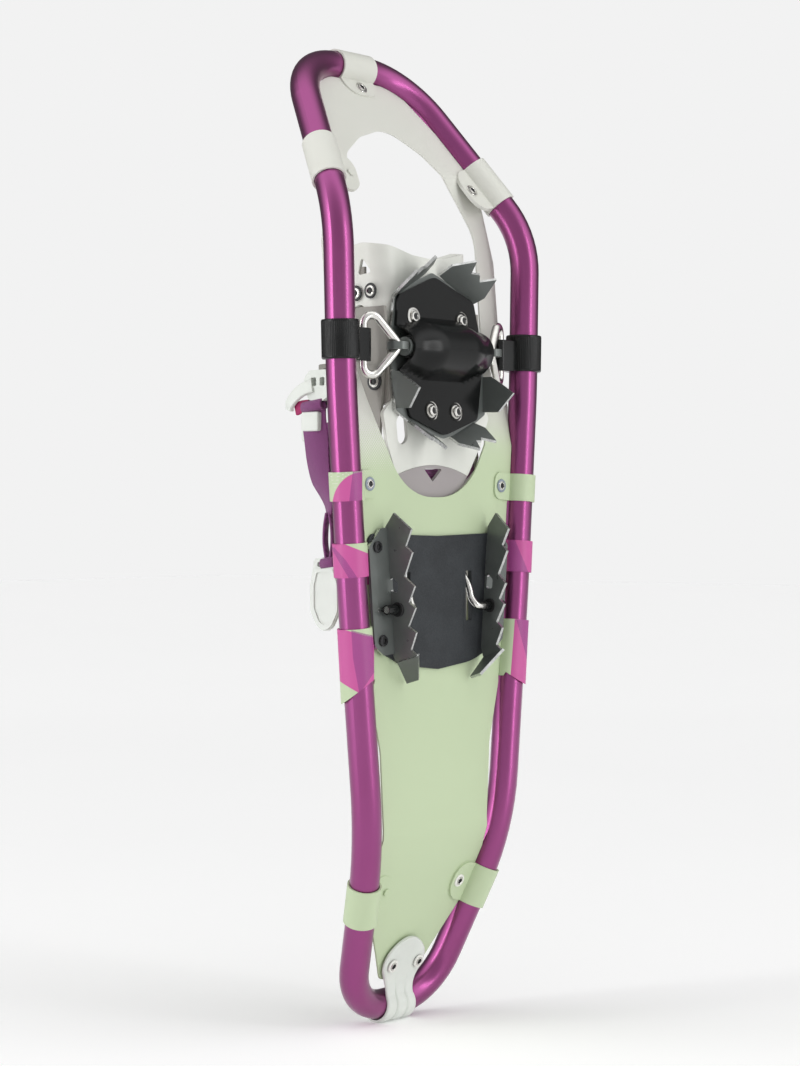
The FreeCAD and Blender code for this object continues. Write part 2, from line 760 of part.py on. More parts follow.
crampon_back = plate_back + dim("plate_gauge")
crampon_outline = [
    (0, 51.0, 6),
    (22.0, 42.5, 2),
    (39.0, 33.0, 4),
    (44.0, 14.0, 6),
    (46.0, -14.0, 2),
    (45.0, -40.0, 2),
    (34.0, -46.0, 4),
    (22.0, -52.0, 2),
    (0, -57.0, 6),
]
crampon_flat = plate("crampon_flat", full_outline(crampon_outline), "Dims.plate_gauge", on_binding(crampon_back))
front_claw = [
    (-18.0, 0),
    (-19.0, 11.0),
    (-11.0, 25.0),
    (-5.0, 16.5),
    (0, 20.0),
    (5.0, 16.5),
    (11.0, 26.0),
    (19.0, 11.0),
    (18.0, 0),
]
rear_claw = [
    (-13.0, 0),
    (-14.5, 9.0),
    (-8.0, 21.5),
    (-2.6, 14.0),
    (0, 16.5),
    (2.6, 14.0),
    (8.0, 23.0),
    (14.5, 9.0),
    (13.0, 0),
]
side_tooth = [
    (-12.0, 0),
    (-12.0, 7.0),
    (-1.0, 24.5),
    (11.5, 14.0),
    (11.5, 0),
]


def claw(name, outline, root, fold, outward):
    """A bent-out tooth plate: fold is the line it is bent along, outward the way its teeth point."""
    fold = Vector(*fold).normalize()
    outward = Vector(*outward)
    outward = (outward - fold * outward.dot(fold)).normalize()
    turn = Rotation(fold, outward, fold.cross(outward), "XYZ")
    home = Placement(root - outward * 0.2, turn)
    return plate(name, outline, "Dims.plate_gauge", home, symmetric=True)


claws = []
middle_offset = crampon_back - dim("plate_gauge") / 2
for side, sign in SIDES.items():
    front_root = binding_point(sign * 23.5, 41.5, middle_offset)
    rear_root = binding_point(sign * 20.5, -51.0, middle_offset)
    side_root = binding_point(sign * 44.8, -27.0, middle_offset)
    claws.append(claw(f"{side}_front_claw", front_claw, front_root, (sign * 0.872, 0, -0.489),
                      (sign * 0.30, -0.84, 0.46)))
    claws.append(claw(f"{side}_rear_claw", rear_claw, rear_root, (sign * 0.93, 0, 0.37),
                      (sign * 0.20, -0.87, -0.46)))
    claws.append(claw(f"{side}_tooth", side_tooth, side_root, (sign * -0.12, 0, -1), (sign * 0.12, -0.99, 0)))
crampon_whole = fused("crampon_whole", [crampon_flat] + claws)

rivet_depth = 7.0
plate_rivets = []
plate_washers = []
for i, (across, up) in enumerate([(-24.5, 20.5), (24.5, 20.5), (-12.4, -39.5), (12.4, -39.5)]):
    seat = binding_point(across, up, dim("plate_offset"))
    ground = bootward * -1
    disc = cylinder(f"washer_{i}_disc", seat, ground, 1.0, "Dims.washer_radius")
    eyelet = cylinder(f"washer_{i}_hole", seat - ground, ground, 4.0, "2.2")
    plate_washers.append(cut(f"washer_{i}", disc, eyelet))
    head = cylinder(f"plate_rivet_{i}_head", seat + ground, ground, 1.4, "3.6")
    shank = cylinder(f"plate_rivet_{i}_shank", seat - ground * rivet_depth, ground, rivet_depth + 1.4, "2.15")
    plate_rivets.append(fused(f"plate_rivet_{i}", [head, shank]))
finish(cut("toe_plate_drilled", plate_open, group("toe_plate_drills", plate_rivets)), "toe_plate")
finish(cut("crampon_drilled", crampon_whole, group("crampon_drills", plate_rivets)), "toe_crampon")
finish(group("plate_washer_set", plate_washers), "plate_washers")
finish(group("plate_rivet_set", plate_rivets), "plate_rivets")

# ---------------------------------------------------------------- harness

bed_lift = crampon_back + 0.3
bed_top, bed_knee = binding_point(0, 71.0, bed_lift), binding_point(0, -32.0, bed_lift)
bed_side = [
    (bed_top.y, bed_top.z),
    (bed_knee.y, bed_knee.z),
    (3.0, 350.0),
    (3.0, 328.0),
]
bed_band = profile_band("bed_band", bed_side, dim("bed_gauge"), 60.0)
bed_outline = [
    (0, 505.0),
    (28.0, 505.0, 10),
    (dim("wall_half"), 486.0, 8),
    (dim("wall_half"), 398.0, 8),
    (35.0, 362.0, 6),
    (27.0, 346.0, 10),
    (22.0, 329.0, 5),
    (0, 329.0),
]
bed_limit = plate("bed_limit", full_outline(bed_outline), cutter_depth, cutter_home)
oval = [(-5.0, -9.5, 4.9), (5.0, -9.5, 4.9), (5.0, 9.5, 4.9), (-5.0, 9.5, 4.9)]
bed_holes = []
for side, sign in SIDES.items():
    turn = FACING_BOOT.multiply(Rotation(Z_AXIS, sign * -14.0))
    bed_holes.append(plate(f"{side}_oval", oval, cutter_depth, Placement(Vector(sign * 34.0, 120, 384.0), turn)))
bed_solid = common("bed_solid", bed_band, bed_limit)
bed_cutters = group("bed_cutters", bed_holes + plate_rivets)
finish(cut("bed", bed_solid, bed_cutters), "harness_bed")

side_plate_outline = [
    (-1.6, 402.0, 3),
    (3.4, 462.0),
    (30.0, 462.0, 8),
    (38.0, 440.0, 12),
    (34.0, 404.0, 10),
    (12.0, 396.0, 8),
]
wing_outline = [
    (3.6, 462.5),
    (6.8, 500.0, 3),
    (24.0, 508.0, 8),
    (36.0, 503.0, 8),
    (44.0, 478.0, 10),
    (34.0, 462.5, 6),
]
wing_window = [(18.0, 485.0, 1.5), (27.0, 485.0, 1.5), (23.0, 496.0, 1.5)]
wing_rivet_seats = ((14.5, 472.0), (27.0, 471.0))
strap_pivot_seat = (8.5, 414.0)


def upright(name, outline, sign, holes=()):
    """A side wall of the harness, standing along the bed's edge."""
    start = sign * dim("wall_half") - (dim("wall_gauge") if sign < 0 else 0)
    home = Placement(Vector(start, 0, 0), Rotation())
    return plate(name, outline, "Dims.wall_gauge", home, holes, plane="YZ_Plane")


def wall_rivet(name, sign, y, z):
    seat = Vector(sign * (dim("wall_half") + dim("wall_gauge")), y, z)
    out = X_AXIS * sign
    head = cylinder(name + "_head", seat, out, 1.2, "Dims.wall_rivet_radius")
    shank = cylinder(name + "_shank", seat - out * (dim("wall_gauge") + 1.0), out, dim("wall_gauge") + 1.5,
                     "Dims.wall_shank_radius")
    return fused(name, [head, shank])


wing_rivets = []
for side, sign in SIDES.items():
    wing_holes = [(y, z, 2.5) for y, z in wing_rivet_seats]
    wing_panel = upright(f"{side}_wing_panel", wing_outline, sign, wing_holes)
    cutter = plate(f"{side}_wing_cutter", wing_window, "120", plane="YZ_Plane", symmetric=True)
    finish(cut(f"{side}_wing_cut", wing_panel, cutter), f"{side}_wing")
    panel_holes = [(*strap_pivot_seat, dim("strap_pin"))]
    finish(upright(f"{side}_side", side_plate_outline, sign, panel_holes), f"{side}_side_plate")
    rivets = [wall_rivet(f"{side}_wing_rivet_{i}", sign, y, z) for i, (y, z) in enumerate(wing_rivet_seats)]
    finish(group(f"{side}_wall_rivet_set", rivets), f"{side}_wing_rivets")
    wing_rivets += rivets


def arch_strap(name, low, high, foot, crown, span):
    """A strap that rises beside one wall, crosses over the boot and comes down beside the other."""
    gauge = dim("strap_gauge")

    def arch(inset):
        shoulder = (span - inset - 10, crown - inset)
        return [(span - inset, foot), (span - inset, crown - 26, 24), (*shoulder, 12), (0, crown - inset)]

    outer = arch(0)
    inner = arch(gauge)
    outline = [*outer[:-1]]
    outline += [(-u, v, *rest) for u, v, *rest in reversed(outer[:-1])]
    outline += [(-u, v, *rest) for u, v, *rest in inner[:-1]]
    outline += [(u, v, *rest) for u, v, *rest in reversed(inner[:-1])]
    return plate(name, outline, str(high - low), Placement(Vector(0, 0, low), Rotation()))


strap_span = dim("wall_half")
toe_arch = arch_strap("toe_arch", 466.0, 488.0, 22.0, 66.0, strap_span)
finish(cut("toe_arch_drilled", toe_arch, group("toe_arch_drills", wing_rivets)), "toe_strap")
finish(arch_strap("instep_arch", 404.0, 428.0, 16.0, 74.0, strap_span), "instep_strap")

# heel strap: a U of moulded strap that turns on two pins through the side plates
strap_pivot = Vector(0, *strap_pivot_seat)
band_inner = dim("wall_half") + dim("wall_gauge") + dim("heel_band_gap")
band_outer = band_inner + dim("wall_gauge")
band_end = dim("heel_band_end")
band_outline = [
    (band_outer, 424.0),
    (band_outer, band_end - band_outer, band_outer - 0.01),
    (-band_outer, band_end - band_outer, band_outer - 0.01),
    (-band_outer, 424.0),
    (-band_inner, 424.0),
    (-band_inner, band_end - band_inner, band_inner - 0.01),
    (band_inner, band_end - band_inner, band_inner - 0.01),
    (band_inner, 424.0),
]
band_lift = Placement(Vector(), Rotation(X_AXIS, dim("heel_band_rise")), strap_pivot)
band_home = band_lift.multiply(in_deck_plane(dim("heel_band_low") + dim("heel_band_width")))
heel_band = plate("heel_band", band_outline, "Dims.heel_band_width", band_home)
pin_holes = cylinder("heel_band_holes", strap_pivot - X_AXIS * 80, X_AXIS, 160.0,
                     "Dims.strap_pin + Dims.running_gap")
finish(cut("heel_band_cut", heel_band, pin_holes), "heel_strap")

strap_pins = []
for side, sign in SIDES.items():
    out = X_AXIS * sign
    inside = strap_pivot + out * dim("wall_half")
    head_start = strap_pivot + out * (band_outer + dim("heel_band_gap"))
    shank = cylinder(f"{side}_pin_shank", inside, out, (head_start - inside).Length + 0.5, "Dims.strap_pin")
    head = cylinder(f"{side}_pin_head", head_start, out, 1.4, "Dims.strap_pin + 2.6")
    strap_pins.append(fused(f"{side}_pin", [shank, head]))
finish(group("strap_pin_set", strap_pins), "strap_pins")

# strap buckles: flat frames with two slots, each hinged on a pin held by a bracket beside the strap
buckle_gauge = 3.2
buckle_x = dim("wall_half") + dim("wall_gauge") + 2.8
buckle_slots = [(5.0, 2.6), (14.5, 5.4)]
buckle_length = 27.0
buckle_half = 9.6
barrel_radius = 2.9
bracket_gap = 0.3
bracket_gauge = 1.8


def buckle(name, sign, y, z):
    """A slotted frame whose length runs along +Y from the barrel it turns on."""
    outline = [
        (0, -buckle_half, 1),
        (buckle_length, -buckle_half, 4),
        (buckle_length, buckle_half, 4),
        (0, buckle_half, 1),
    ]
    start = sign * buckle_x - (buckle_gauge if sign < 0 else 0)
    home = Placement(Vector(start, y, z), Rotation())
    frame = plate(name + "_frame", outline, str(buckle_gauge), home, plane="YZ_Plane")
    foot = Vector(sign * (buckle_x + buckle_gauge / 2), y, z - buckle_half)
    barrel_solid = cylinder(name + "_barrel", foot, Z_AXIS, 2 * buckle_half, str(barrel_radius))
    bore = cylinder(name + "_bore", foot - Z_AXIS, Z_AXIS, 2 * buckle_half + 2, "Dims.hinge_pin + Dims.running_gap")
    slots = [box(f"{name}_slot_{i}", (start - 5, y + low, z - 6.6), (start + 10, y + low + width, z + 6.6))
             for i, (low, width) in enumerate(buckle_slots)]
    return cut(name + "_open", fused(name + "_solid", [frame, barrel_solid]), group(name + "_cuts", slots + [bore]))


def buckle_bracket(name, sign, seat, y, z):
    """Base on the strap or wall, two ears and the pin between them."""
    middle = buckle_x + buckle_gauge / 2
    ear_low = buckle_half + bracket_gap
    ear_high = ear_low + bracket_gauge
    wall = middle - barrel_radius - bracket_gap
    spans = [((seat, wall), (-ear_high, ear_high))]
    spans += [((seat, middle + 2.6), heights) for heights in ((-ear_high, -ear_low), (ear_low, ear_high))]
    pieces = []
    for i, (across, heights) in enumerate(spans):
        near, far = sorted(sign * x for x in across)
        low, high = (z + height for height in heights)
        pieces.append(box(f"{name}_{i}", (near, y - 2.8, low), (far, y + 2.8, high)))
    pieces.append(cylinder(name + "_pin", Vector(sign * middle, y, z - ear_high), Z_AXIS, 2 * ear_high,
                           "Dims.hinge_pin"))
    return fused(name, pieces)


instep_buckle_seat = (46.0, 412.0)
toe_buckle_seat = (36.0, 477.0)
instep_frame = buckle("instep_buckle", -1, *instep_buckle_seat)
finish(buckle("toe_buckle", 1, *toe_buckle_seat), "toe_buckle")
finish(buckle_bracket("instep_bracket", -1, dim("wall_half"), *instep_buckle_seat), "instep_buckle_hinge")
finish(buckle_bracket("toe_bracket", 1, dim("wall_half") + dim("wall_gauge"), *toe_buckle_seat), "toe_buckle_hinge")

# pull strap: webbing that hangs from the instep buckle, its keeper, and the clip on its loop
webbing_x = -(dim("wall_half") + dim("wall_gauge") + 8.6)
webbing_top = (62.0, 398.0)
webbing_foot = (50.0, 298.0)
webbing_half = 9.0
webbing_angle = math.degrees(math.atan2(webbing_top[0] - webbing_foot[0], webbing_top[1] - webbing_foot[1]))
webbing_length = math.dist(webbing_top, webbing_foot)
WEBBING_TURN = Rotation(X_AXIS, -webbing_angle)


def webbing_home(x, drop=0.0):
    """Origin on the webbing's middle line, drop below its top; the local Z axis runs up the webbing."""
    share = drop / webbing_length
    y = webbing_top[0] + (webbing_foot[0] - webbing_top[0]) * share
    z = webbing_top[1] + (webbing_foot[1] - webbing_top[1]) * share
    return Placement(Vector(x, y, z), WEBBING_TURN)


loop_radius = 4.0
loop_bore = 2.7
bar_radius = 2.3
webbing_across = WEBBING_TURN.multVec(Y_AXIS)
tape_end = loop_radius - 0.6
tape_outline = [
    (-webbing_half, -webbing_length + tape_end),
    (webbing_half, -webbing_length + tape_end),
    (webbing_half, -tape_end),
    (-webbing_half, -tape_end),
]
tape_start = webbing_x - dim("webbing_gauge") / 2
tape_pieces = [plate("tape", tape_outline, "Dims.webbing_gauge", webbing_home(tape_start), plane="YZ_Plane")]
loop_holes = []
for name, drop in (("top", 0.0), ("foot", webbing_length)):
    start = webbing_home(webbing_x, drop).Base - webbing_across * webbing_half
    tape_pieces.append(cylinder(f"loop_{name}", start, webbing_across, 2 * webbing_half, str(loop_radius)))
    loop_holes.append(cylinder(f"loop_{name}_hole", start - webbing_across * 5, webbing_across, 30.0, str(loop_bore)))
finish(cut("pull_tape", fused("tape_solid", tape_pieces), group("loop_holes", loop_holes)), "pull_strap")


def loop_bar(name, drop, low, high):
    """A bar through a loop of the webbing, with an ear at each end from low to high along the webbing."""
    home = webbing_home(webbing_x, drop)
    bar = cylinder(name + "_bar", home.Base - webbing_across * 11.6, webbing_across, 23.2, str(bar_radius))
    ears = []
    for side, edge in (("near", -11.6), ("far", 9.4)):
        ear = box(f"{name}_{side}", (0, 0, 0), (5.8, 2.2, high - low))
        ear.Placement = home.multiply(Placement(Vector(-bar_radius, edge, low), Rotation()))
        ears.append(ear)
    return [bar, *ears]


finish(fused("instep_buckle_whole", [instep_frame, *loop_bar("buckle_loop", 0.0, -bar_radius, 10.0)]),
       "instep_buckle")

keeper_drop = 14.0
keeper_outline = [(-11.2, -9.0, 2), (11.2, -9.0, 2), (11.2, 9.0, 2), (-11.2, 9.0, 2)]
keeper_block = plate("keeper_block", keeper_outline, "4.6", webbing_home(webbing_x - 2.3, keeper_drop),
                     plane="YZ_Plane")
keeper_slot = box("keeper_slot", (0, 0, 0), (dim("webbing_gauge") + 0.5, 2 * webbing_half + 0.6, 30.0))
keeper_corner = Placement(Vector(-dim("webbing_gauge") / 2 - 0.25, -webbing_half - 0.3, -15.0), Rotation())
keeper_slot.Placement = webbing_home(webbing_x, keeper_drop).multiply(keeper_corner)
finish(cut("keeper", keeper_block, keeper_slot), "strap_keeper")

clip_plate_outline = [
    (-12.0, -7.0, 2),
    (-12.0, -34.0, 8),
    (-4.0, -42.0, 6),
    (4.0, -42.0, 6),
    (12.0, -34.0, 8),
    (12.0, -7.0, 2),
]
clip_plate_home = webbing_home(webbing_x - 1.6, webbing_length)
clip_plate = plate("hang_clip_plate", clip_plate_outline, "3.2", clip_plate_home, plane="YZ_Plane")
clip_slot_outline = [(-4.5, -16.0, 2), (-4.5, -32.0, 3), (4.5, -32.0, 3), (4.5, -16.0, 2)]
clip_slot = plate("hang_clip_slot", clip_slot_outline, "20", webbing_home(webbing_x - 10, webbing_length),
                  plane="YZ_Plane")
clip_open = cut("hang_clip_open", clip_plate, clip_slot)
finish(fused("hang_clip", [clip_open, *loop_bar("hang_clip", webbing_length, -8.5, bar_radius)]), "strap_clip")

# ---------------------------------------------------------------- heel lifter

level, drop = dim("lifter_level"), -dim("lifter_pivot")
leg_x = dim("lifter_half")
pin_end = 59.0
right_half_bail = [
    Vector(pin_end, drop, level),
    Vector(36.5, drop, level),
    Vector(leg_x, -1.0, level - 7.0),
    Vector(leg_x, 4.5, level + 22.0),
    Vector(leg_x, 4.5, level + dim("lifter_reach")),
]
left_half_bail = [Vector(-corner.x, corner.y, corner.z) for corner in reversed(right_half_bail)]
bail_bends = [4.0, 3.2, 20.0, 8.0]
bail_path = rounded_path(right_half_bail + left_half_bail, bail_bends + bail_bends[::-1])
finish(swept("bail", bail_path, "Dims.lifter_wire / 2"), "heel_lifter")

sleeve_radius = 3.1
sleeves = []
end_caps = []
for side, sign in SIDES.items():
    for name, near, far, store in (("sleeve", 39.2, 44.4, sleeves), ("cap", 49.2, pin_end, end_caps)):
        start = Vector(sign * near, drop, level)
        outer = cylinder(f"{side}_{name}_outer", start, X_AXIS * sign, far - near, str(sleeve_radius))
        inner = cylinder(f"{side}_{name}_inner", start - X_AXIS * sign, X_AXIS * sign, far - near + 2,
                         "Dims.lifter_wire / 2")
        store.append(cut(f"{side}_{name}", outer, inner))
    start = Vector(sign * 44.8, drop, level)
    body = cylinder(f"{side}_lifter_bush_body", start, X_AXIS * sign, 4.0, "Dims.bush_radius")
    bore = cylinder(f"{side}_lifter_bush_bore", start - X_AXIS * sign, X_AXIS * sign, 6.0,
                    "Dims.lifter_wire / 2 + Dims.running_gap")
    finish(cut(f"{side}_lifter_bush_cut", body, bore), f"{side}_lifter_bush")
finish(group("lifter_sleeve_set", sleeves), "lifter_sleeves")
finish(group("lifter_cap_set", end_caps), "lifter_end_caps")

# ---------------------------------------------------------------- checks and files

doc.recompute()
for thing in doc.Objects:
    if "Invalid" in thing.State or "Error" in thing.State:
        raise RuntimeError(f"{thing.Name} failed: {thing.State}")

os.makedirs("parts", exist_ok=True)
for thing in finished:
    shape = thing.Shape
    if shape.isNull() or not shape.isValid() or not shape.Solids:
        raise RuntimeError(f"{thing.Label} is not a valid solid")
    shape.exportStep(f"parts/{thing.Label}.step")
    extent = shape.BoundBox
    print(f"{thing.Label:22s} solids {len(shape.Solids)} volume {shape.Volume:10.1f} "
          f"x {extent.XMin:7.1f} {extent.XMax:7.1f} y {extent.YMin:7.1f} {extent.YMax:7.1f} "
          f"z {extent.ZMin:7.1f} {extent.ZMax:7.1f}")
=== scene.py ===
"""Looks of the snowshoe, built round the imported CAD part.

Lengths marked mm are in the part's drawing frame.
"""
import json
import math

import bmesh
import bpy
from mathutils import Matrix, Vector


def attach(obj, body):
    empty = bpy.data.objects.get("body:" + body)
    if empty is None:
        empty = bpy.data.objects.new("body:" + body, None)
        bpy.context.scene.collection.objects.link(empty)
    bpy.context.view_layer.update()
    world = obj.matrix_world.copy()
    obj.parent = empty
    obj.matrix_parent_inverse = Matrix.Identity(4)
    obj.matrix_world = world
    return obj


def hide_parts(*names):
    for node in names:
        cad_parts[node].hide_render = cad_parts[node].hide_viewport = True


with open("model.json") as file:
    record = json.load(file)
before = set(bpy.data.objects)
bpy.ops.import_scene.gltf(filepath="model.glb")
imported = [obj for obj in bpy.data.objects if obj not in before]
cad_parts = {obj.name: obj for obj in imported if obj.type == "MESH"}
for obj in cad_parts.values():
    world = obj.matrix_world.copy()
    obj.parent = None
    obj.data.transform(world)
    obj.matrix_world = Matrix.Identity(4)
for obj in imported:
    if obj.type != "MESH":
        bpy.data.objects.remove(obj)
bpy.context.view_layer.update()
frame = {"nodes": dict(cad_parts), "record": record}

NODES = frame["nodes"]
JOINTS = {joint["name"]: joint for joint in frame["record"]["behaviour"]["joints"]}
BODY_OF = {node: body for body, members in frame["record"]["behaviour"]["bodies"].items() for node in members}
SLOT_OF = {entry["node"]: entry["material_slot"] for entry in frame["record"]["subparts"]}

# the drawing frame: mm, origin on the tube's middle plane, pivot line at (y -8, z 436)
PIVOT = Vector(JOINTS["toe_pivot"]["pos_m"])
DRAWING_PIVOT = Vector((0, -8.0, 436.0))
MM = 0.001

# direction across the printed tabs: how much of x and of -y counts
OBLIQUE_X, OBLIQUE_Y = 0.649, 0.760


def at(x, y, z):
    """A point of the drawing frame, in metres in the row frame."""
    return PIVOT + (Vector((x, y, z)) - DRAWING_PIVOT) * MM


# ------------------------------------------------------------------ materials


class Shade:
    """A Principled material with helpers for its procedural nodes."""

    def __init__(self, name, **sockets):
        self.material = bpy.data.materials.new(name)
        self.material.use_nodes = True
        self.tree = self.material.node_tree
        self.shader = self.tree.nodes["Principled BSDF"]
        for key, value in sockets.items():
            self.shader.inputs[key.replace("_", " ")].default_value = value
        self.coords = self.tree.nodes.new("ShaderNodeTexCoord").outputs["Object"]

    def node(self, kind, props=None, **inputs):
        made = self.tree.nodes.new("ShaderNode" + kind)
        for key, value in (props or {}).items():
            setattr(made, key, value)
        for key, value in inputs.items():
            socket = made.inputs[int(key[1:])] if key[0] == "i" and key[1:].isdigit() else made.inputs[key]
            if isinstance(value, bpy.types.NodeSocket):
                self.tree.links.new(value, socket)
            else:
                socket.default_value = value
        return made

    def math(self, operation, *values):
        inputs = {f"i{i}": value for i, value in enumerate(values)}
        return self.node("Math", {"operation": operation}, **inputs).outputs[0]

    def noise(self, scale, detail=4.0, stretch=None):
        where = self.coords
        if stretch:
            where = self.node("Mapping", None, Vector=where, Scale=stretch).outputs[0]
        return self.node("TexNoise", None, Vector=where, Scale=scale, Detail=detail).outputs["Fac"]

    def ramp(self, value, low, high, to_low=0.0, to_high=1.0):
        made = self.node("MapRange", None, Value=value)
        for key, number in (("From Min", low), ("From Max", high), ("To Min", to_low), ("To Max", to_high)):
            made.inputs[key].default_value = number
        return made.outputs[0]

    def mix(self, share, first, second):
        made = self.node("Mix", {"data_type": "RGBA"}, i0=share)
        for index, value in ((6, first), (7, second)):
            if isinstance(value, bpy.types.NodeSocket):
                self.tree.links.new(value, made.inputs[index])
            else:
                made.inputs[index].default_value = (*value, 1.0)
        return made.outputs[2]

    def drive(self, name, value):
        self.tree.links.new(value, self.shader.inputs[name])

    def bump(self, height, distance, strength=1.0):
        made = self.node("Bump", None, Height=height, Distance=distance, Strength=strength)
        self.drive("Normal", made.outputs[0])


def linear(*rgb):
    """sRGB 0-255 to linear colour."""
    return tuple(c / 255 / 12.92 if c <= 10 else ((c / 255 + 0.055) / 1.055) ** 2.4 for c in rgb)


def plain(name, light, dark, rough, scale=300.0, bump=0.00002, metallic=0.0, patch=25.0, **sockets):
    """Mottled colour, uneven roughness and a fine surface bump."""
    shade = Shade(name, Metallic=metallic, **sockets)
    blotch = shade.ramp(shade.noise(patch), 0.3, 0.7)
    shade.drive("Base Color", shade.mix(blotch, dark, light))
    grain = shade.noise(scale, 6.0)
    shade.drive("Roughness", shade.ramp(grain, 0.3, 0.7, rough[0], rough[1]))
    shade.bump(grain, bump)
    return shade.material


def anodised():
    shade = Shade("anodised_purple", Metallic=1.0, Coat_Weight=0.5, Coat_Roughness=0.32)
    blotch = shade.ramp(shade.noise(14.0), 0.3, 0.7)
    shade.drive("Base Color", shade.mix(blotch, (0.285, 0.052, 0.190), (0.305, 0.060, 0.212)))
    grain = shade.noise(2600.0, 3.0)
    shade.drive("Roughness", shade.ramp(grain, 0.3, 0.7, 0.28, 0.34))
    shade.bump(grain, 0.000002)
    return shade.material


SAGE = linear(188, 203, 168)
PALE = linear(214, 214, 207)
PINK = linear(193, 84, 150)
PLUM = linear(140, 62, 128)


def half_plane(shade, u, z, first, second):
    """1 on the left of the line from first to second, points given in mm."""
    (u0, z0), (u1, z1) = first, second
    run, rise = u1 - u0, z1 - z0
    length = math.hypot(run, rise)
    offset = (run * z0 - rise * u0) * MM
    distance = shade.math("SUBTRACT", shade.math("SUBTRACT", shade.math("MULTIPLY", z, run),
                                                 shade.math("MULTIPLY", u, rise)), offset)
    return shade.ramp(distance, -0.00012 * length, 0.00012 * length)


def polygon(*corners):
    """A convex printed shape with its corners anticlockwise, in mm."""
    def drawn(shade, u, z):
        cover = None
        for first, second in zip(corners, corners[1:] + corners[:1]):
            inside = half_plane(shade, u, z, first, second)
            cover = inside if cover is None else shade.math("MINIMUM", cover, inside)
        return cover
    return drawn


def quarter_leaf(u0, z0, wide, tall, reach):
    """The part of an ellipse up and to the left of its centre, cut off beyond reach."""
    def drawn(shade, u, z):
        across = shade.math("DIVIDE", shade.math("SUBTRACT", u, u0 * MM), wide * MM)
        up = shade.math("DIVIDE", shade.math("SUBTRACT", z, z0 * MM), tall * MM)
        round_part = shade.math("ADD", shade.math("MULTIPLY", across, across),
                                shade.math("MULTIPLY", up, up))
        inside = shade.ramp(round_part, 1.02, 0.98)
        near = shade.ramp(u, (reach + 0.1) * MM, (reach - 0.1) * MM)
        above = shade.ramp(z, z0 * MM - 0.0001, z0 * MM)
        return shade.math("MULTIPLY", shade.math("MINIMUM", inside, near), above)
    return drawn


# printed shapes on the side tabs: (mm across, mm up); across runs obliquely from the left tube to the right
PRINTS = [
    (PINK, quarter_leaf(-15.0, 337.0, 19.0, 21.0, -15.6)),
    (PLUM, polygon((-24.0, 336.0), (-15.6, 336.0), (-15.6, 360.0), (-21.0, 360.0))),
    (PINK, polygon((-45.0, 288.0), (-10.0, 288.0), (-10.0, 307.0), (-26.0, 313.5), (-45.0, 316.0))),
    (PLUM, polygon((-33.0, 311.5), (-35.0, 311.5), (-22.5, 290.0), (-18.0, 292.0), (-26.0, 304.0))),
    (PINK, polygon((-27.5, 227.0), (-17.8, 221.0), (-8.6, 226.0), (-8.6, 256.5), (-24.0, 260.0),
    (-45.0, 266.0),
                   (-45.0, 237.0))),
    (PLUM, polygon((-17.6, 221.0), (-8.5, 234.0), (-9.5, 257.0), (-22.5, 260.5), (-21.5, 243.0))),
    (PINK, polygon((78.0, 292.0), (115.0, 292.0), (115.0, 314.0), (78.0, 318.0))),
    (PLUM, polygon((80.0, 292.0), (94.0, 292.0), (84.0, 316.0), (80.0, 316.0))),
    (PINK, polygon((80.5, 218.0), (115.0, 218.0), (115.0, 262.0), (84.0, 262.0))),
    (PLUM, polygon((96.0, 222.0), (115.0, 222.0), (115.0, 262.0), (85.0, 262.0))),
]


def deck_material():
    """Off-white at the toe, halftone dots into sage green, and curved pink leaves over the side tabs."""
    shade = Shade("deck_sheet", IOR=1.45)
    axes = shade.node("SeparateXYZ", None, Vector=shade.coords).outputs
    x, z = axes[0], axes[2]
    pitch = 0.0011
    cells = []
    for axis in (shade.math("ADD", x, z), shade.math("SUBTRACT", x, z)):
        wave = shade.math("FRACT", shade.math("DIVIDE", axis, pitch * 2))
        cells.append(shade.math("POWER", shade.math("SUBTRACT", wave, 0.5), 2.0))
    radius = shade.math("SQRT", shade.math("ADD", *cells))
    height = shade.math("SUBTRACT", z, shade.math("MULTIPLY", x, 0.12))
    cover = shade.ramp(height, 0.350, 0.415, 0.78, -0.05)
    dots = shade.ramp(shade.math("SUBTRACT", cover, radius), -0.03, 0.03)
    ground = shade.mix(dots, PALE, SAGE)
    mottle = shade.ramp(shade.noise(9.0), 0.3, 0.7, 0.0, 0.10)
    ground = shade.mix(mottle, ground, linear(160, 178, 140))
    oblique = shade.math("SUBTRACT", shade.math("MULTIPLY", x, OBLIQUE_X),
                         shade.math("MULTIPLY", axes[1], OBLIQUE_Y))
    shares = {PINK: None, PLUM: None}
    for colour, shape in PRINTS:
        drawn = shape(shade, oblique, z)
        shares[colour] = drawn if shares[colour] is None else shade.math("MAXIMUM", shares[colour], drawn)
    slanted = shade.math("ADD", z, shade.math("MULTIPLY", oblique, 1.6))
    hatch = shade.math("FRACT", shade.math("DIVIDE", slanted, 0.0012))
    lined = shade.ramp(hatch, 0.35, 0.5, 0.35, 1.0)
    painted = shade.mix(shares[PINK], ground, PINK)
    shade.drive("Base Color", shade.mix(shade.math("MULTIPLY", shares[PLUM], lined), painted, PLUM))
    grain = shade.noise(700.0, 5.0)
    shade.drive("Roughness", shade.ramp(grain, 0.3, 0.7, 0.36, 0.46))
    shade.bump(grain, 0.00001)
    return shade.material


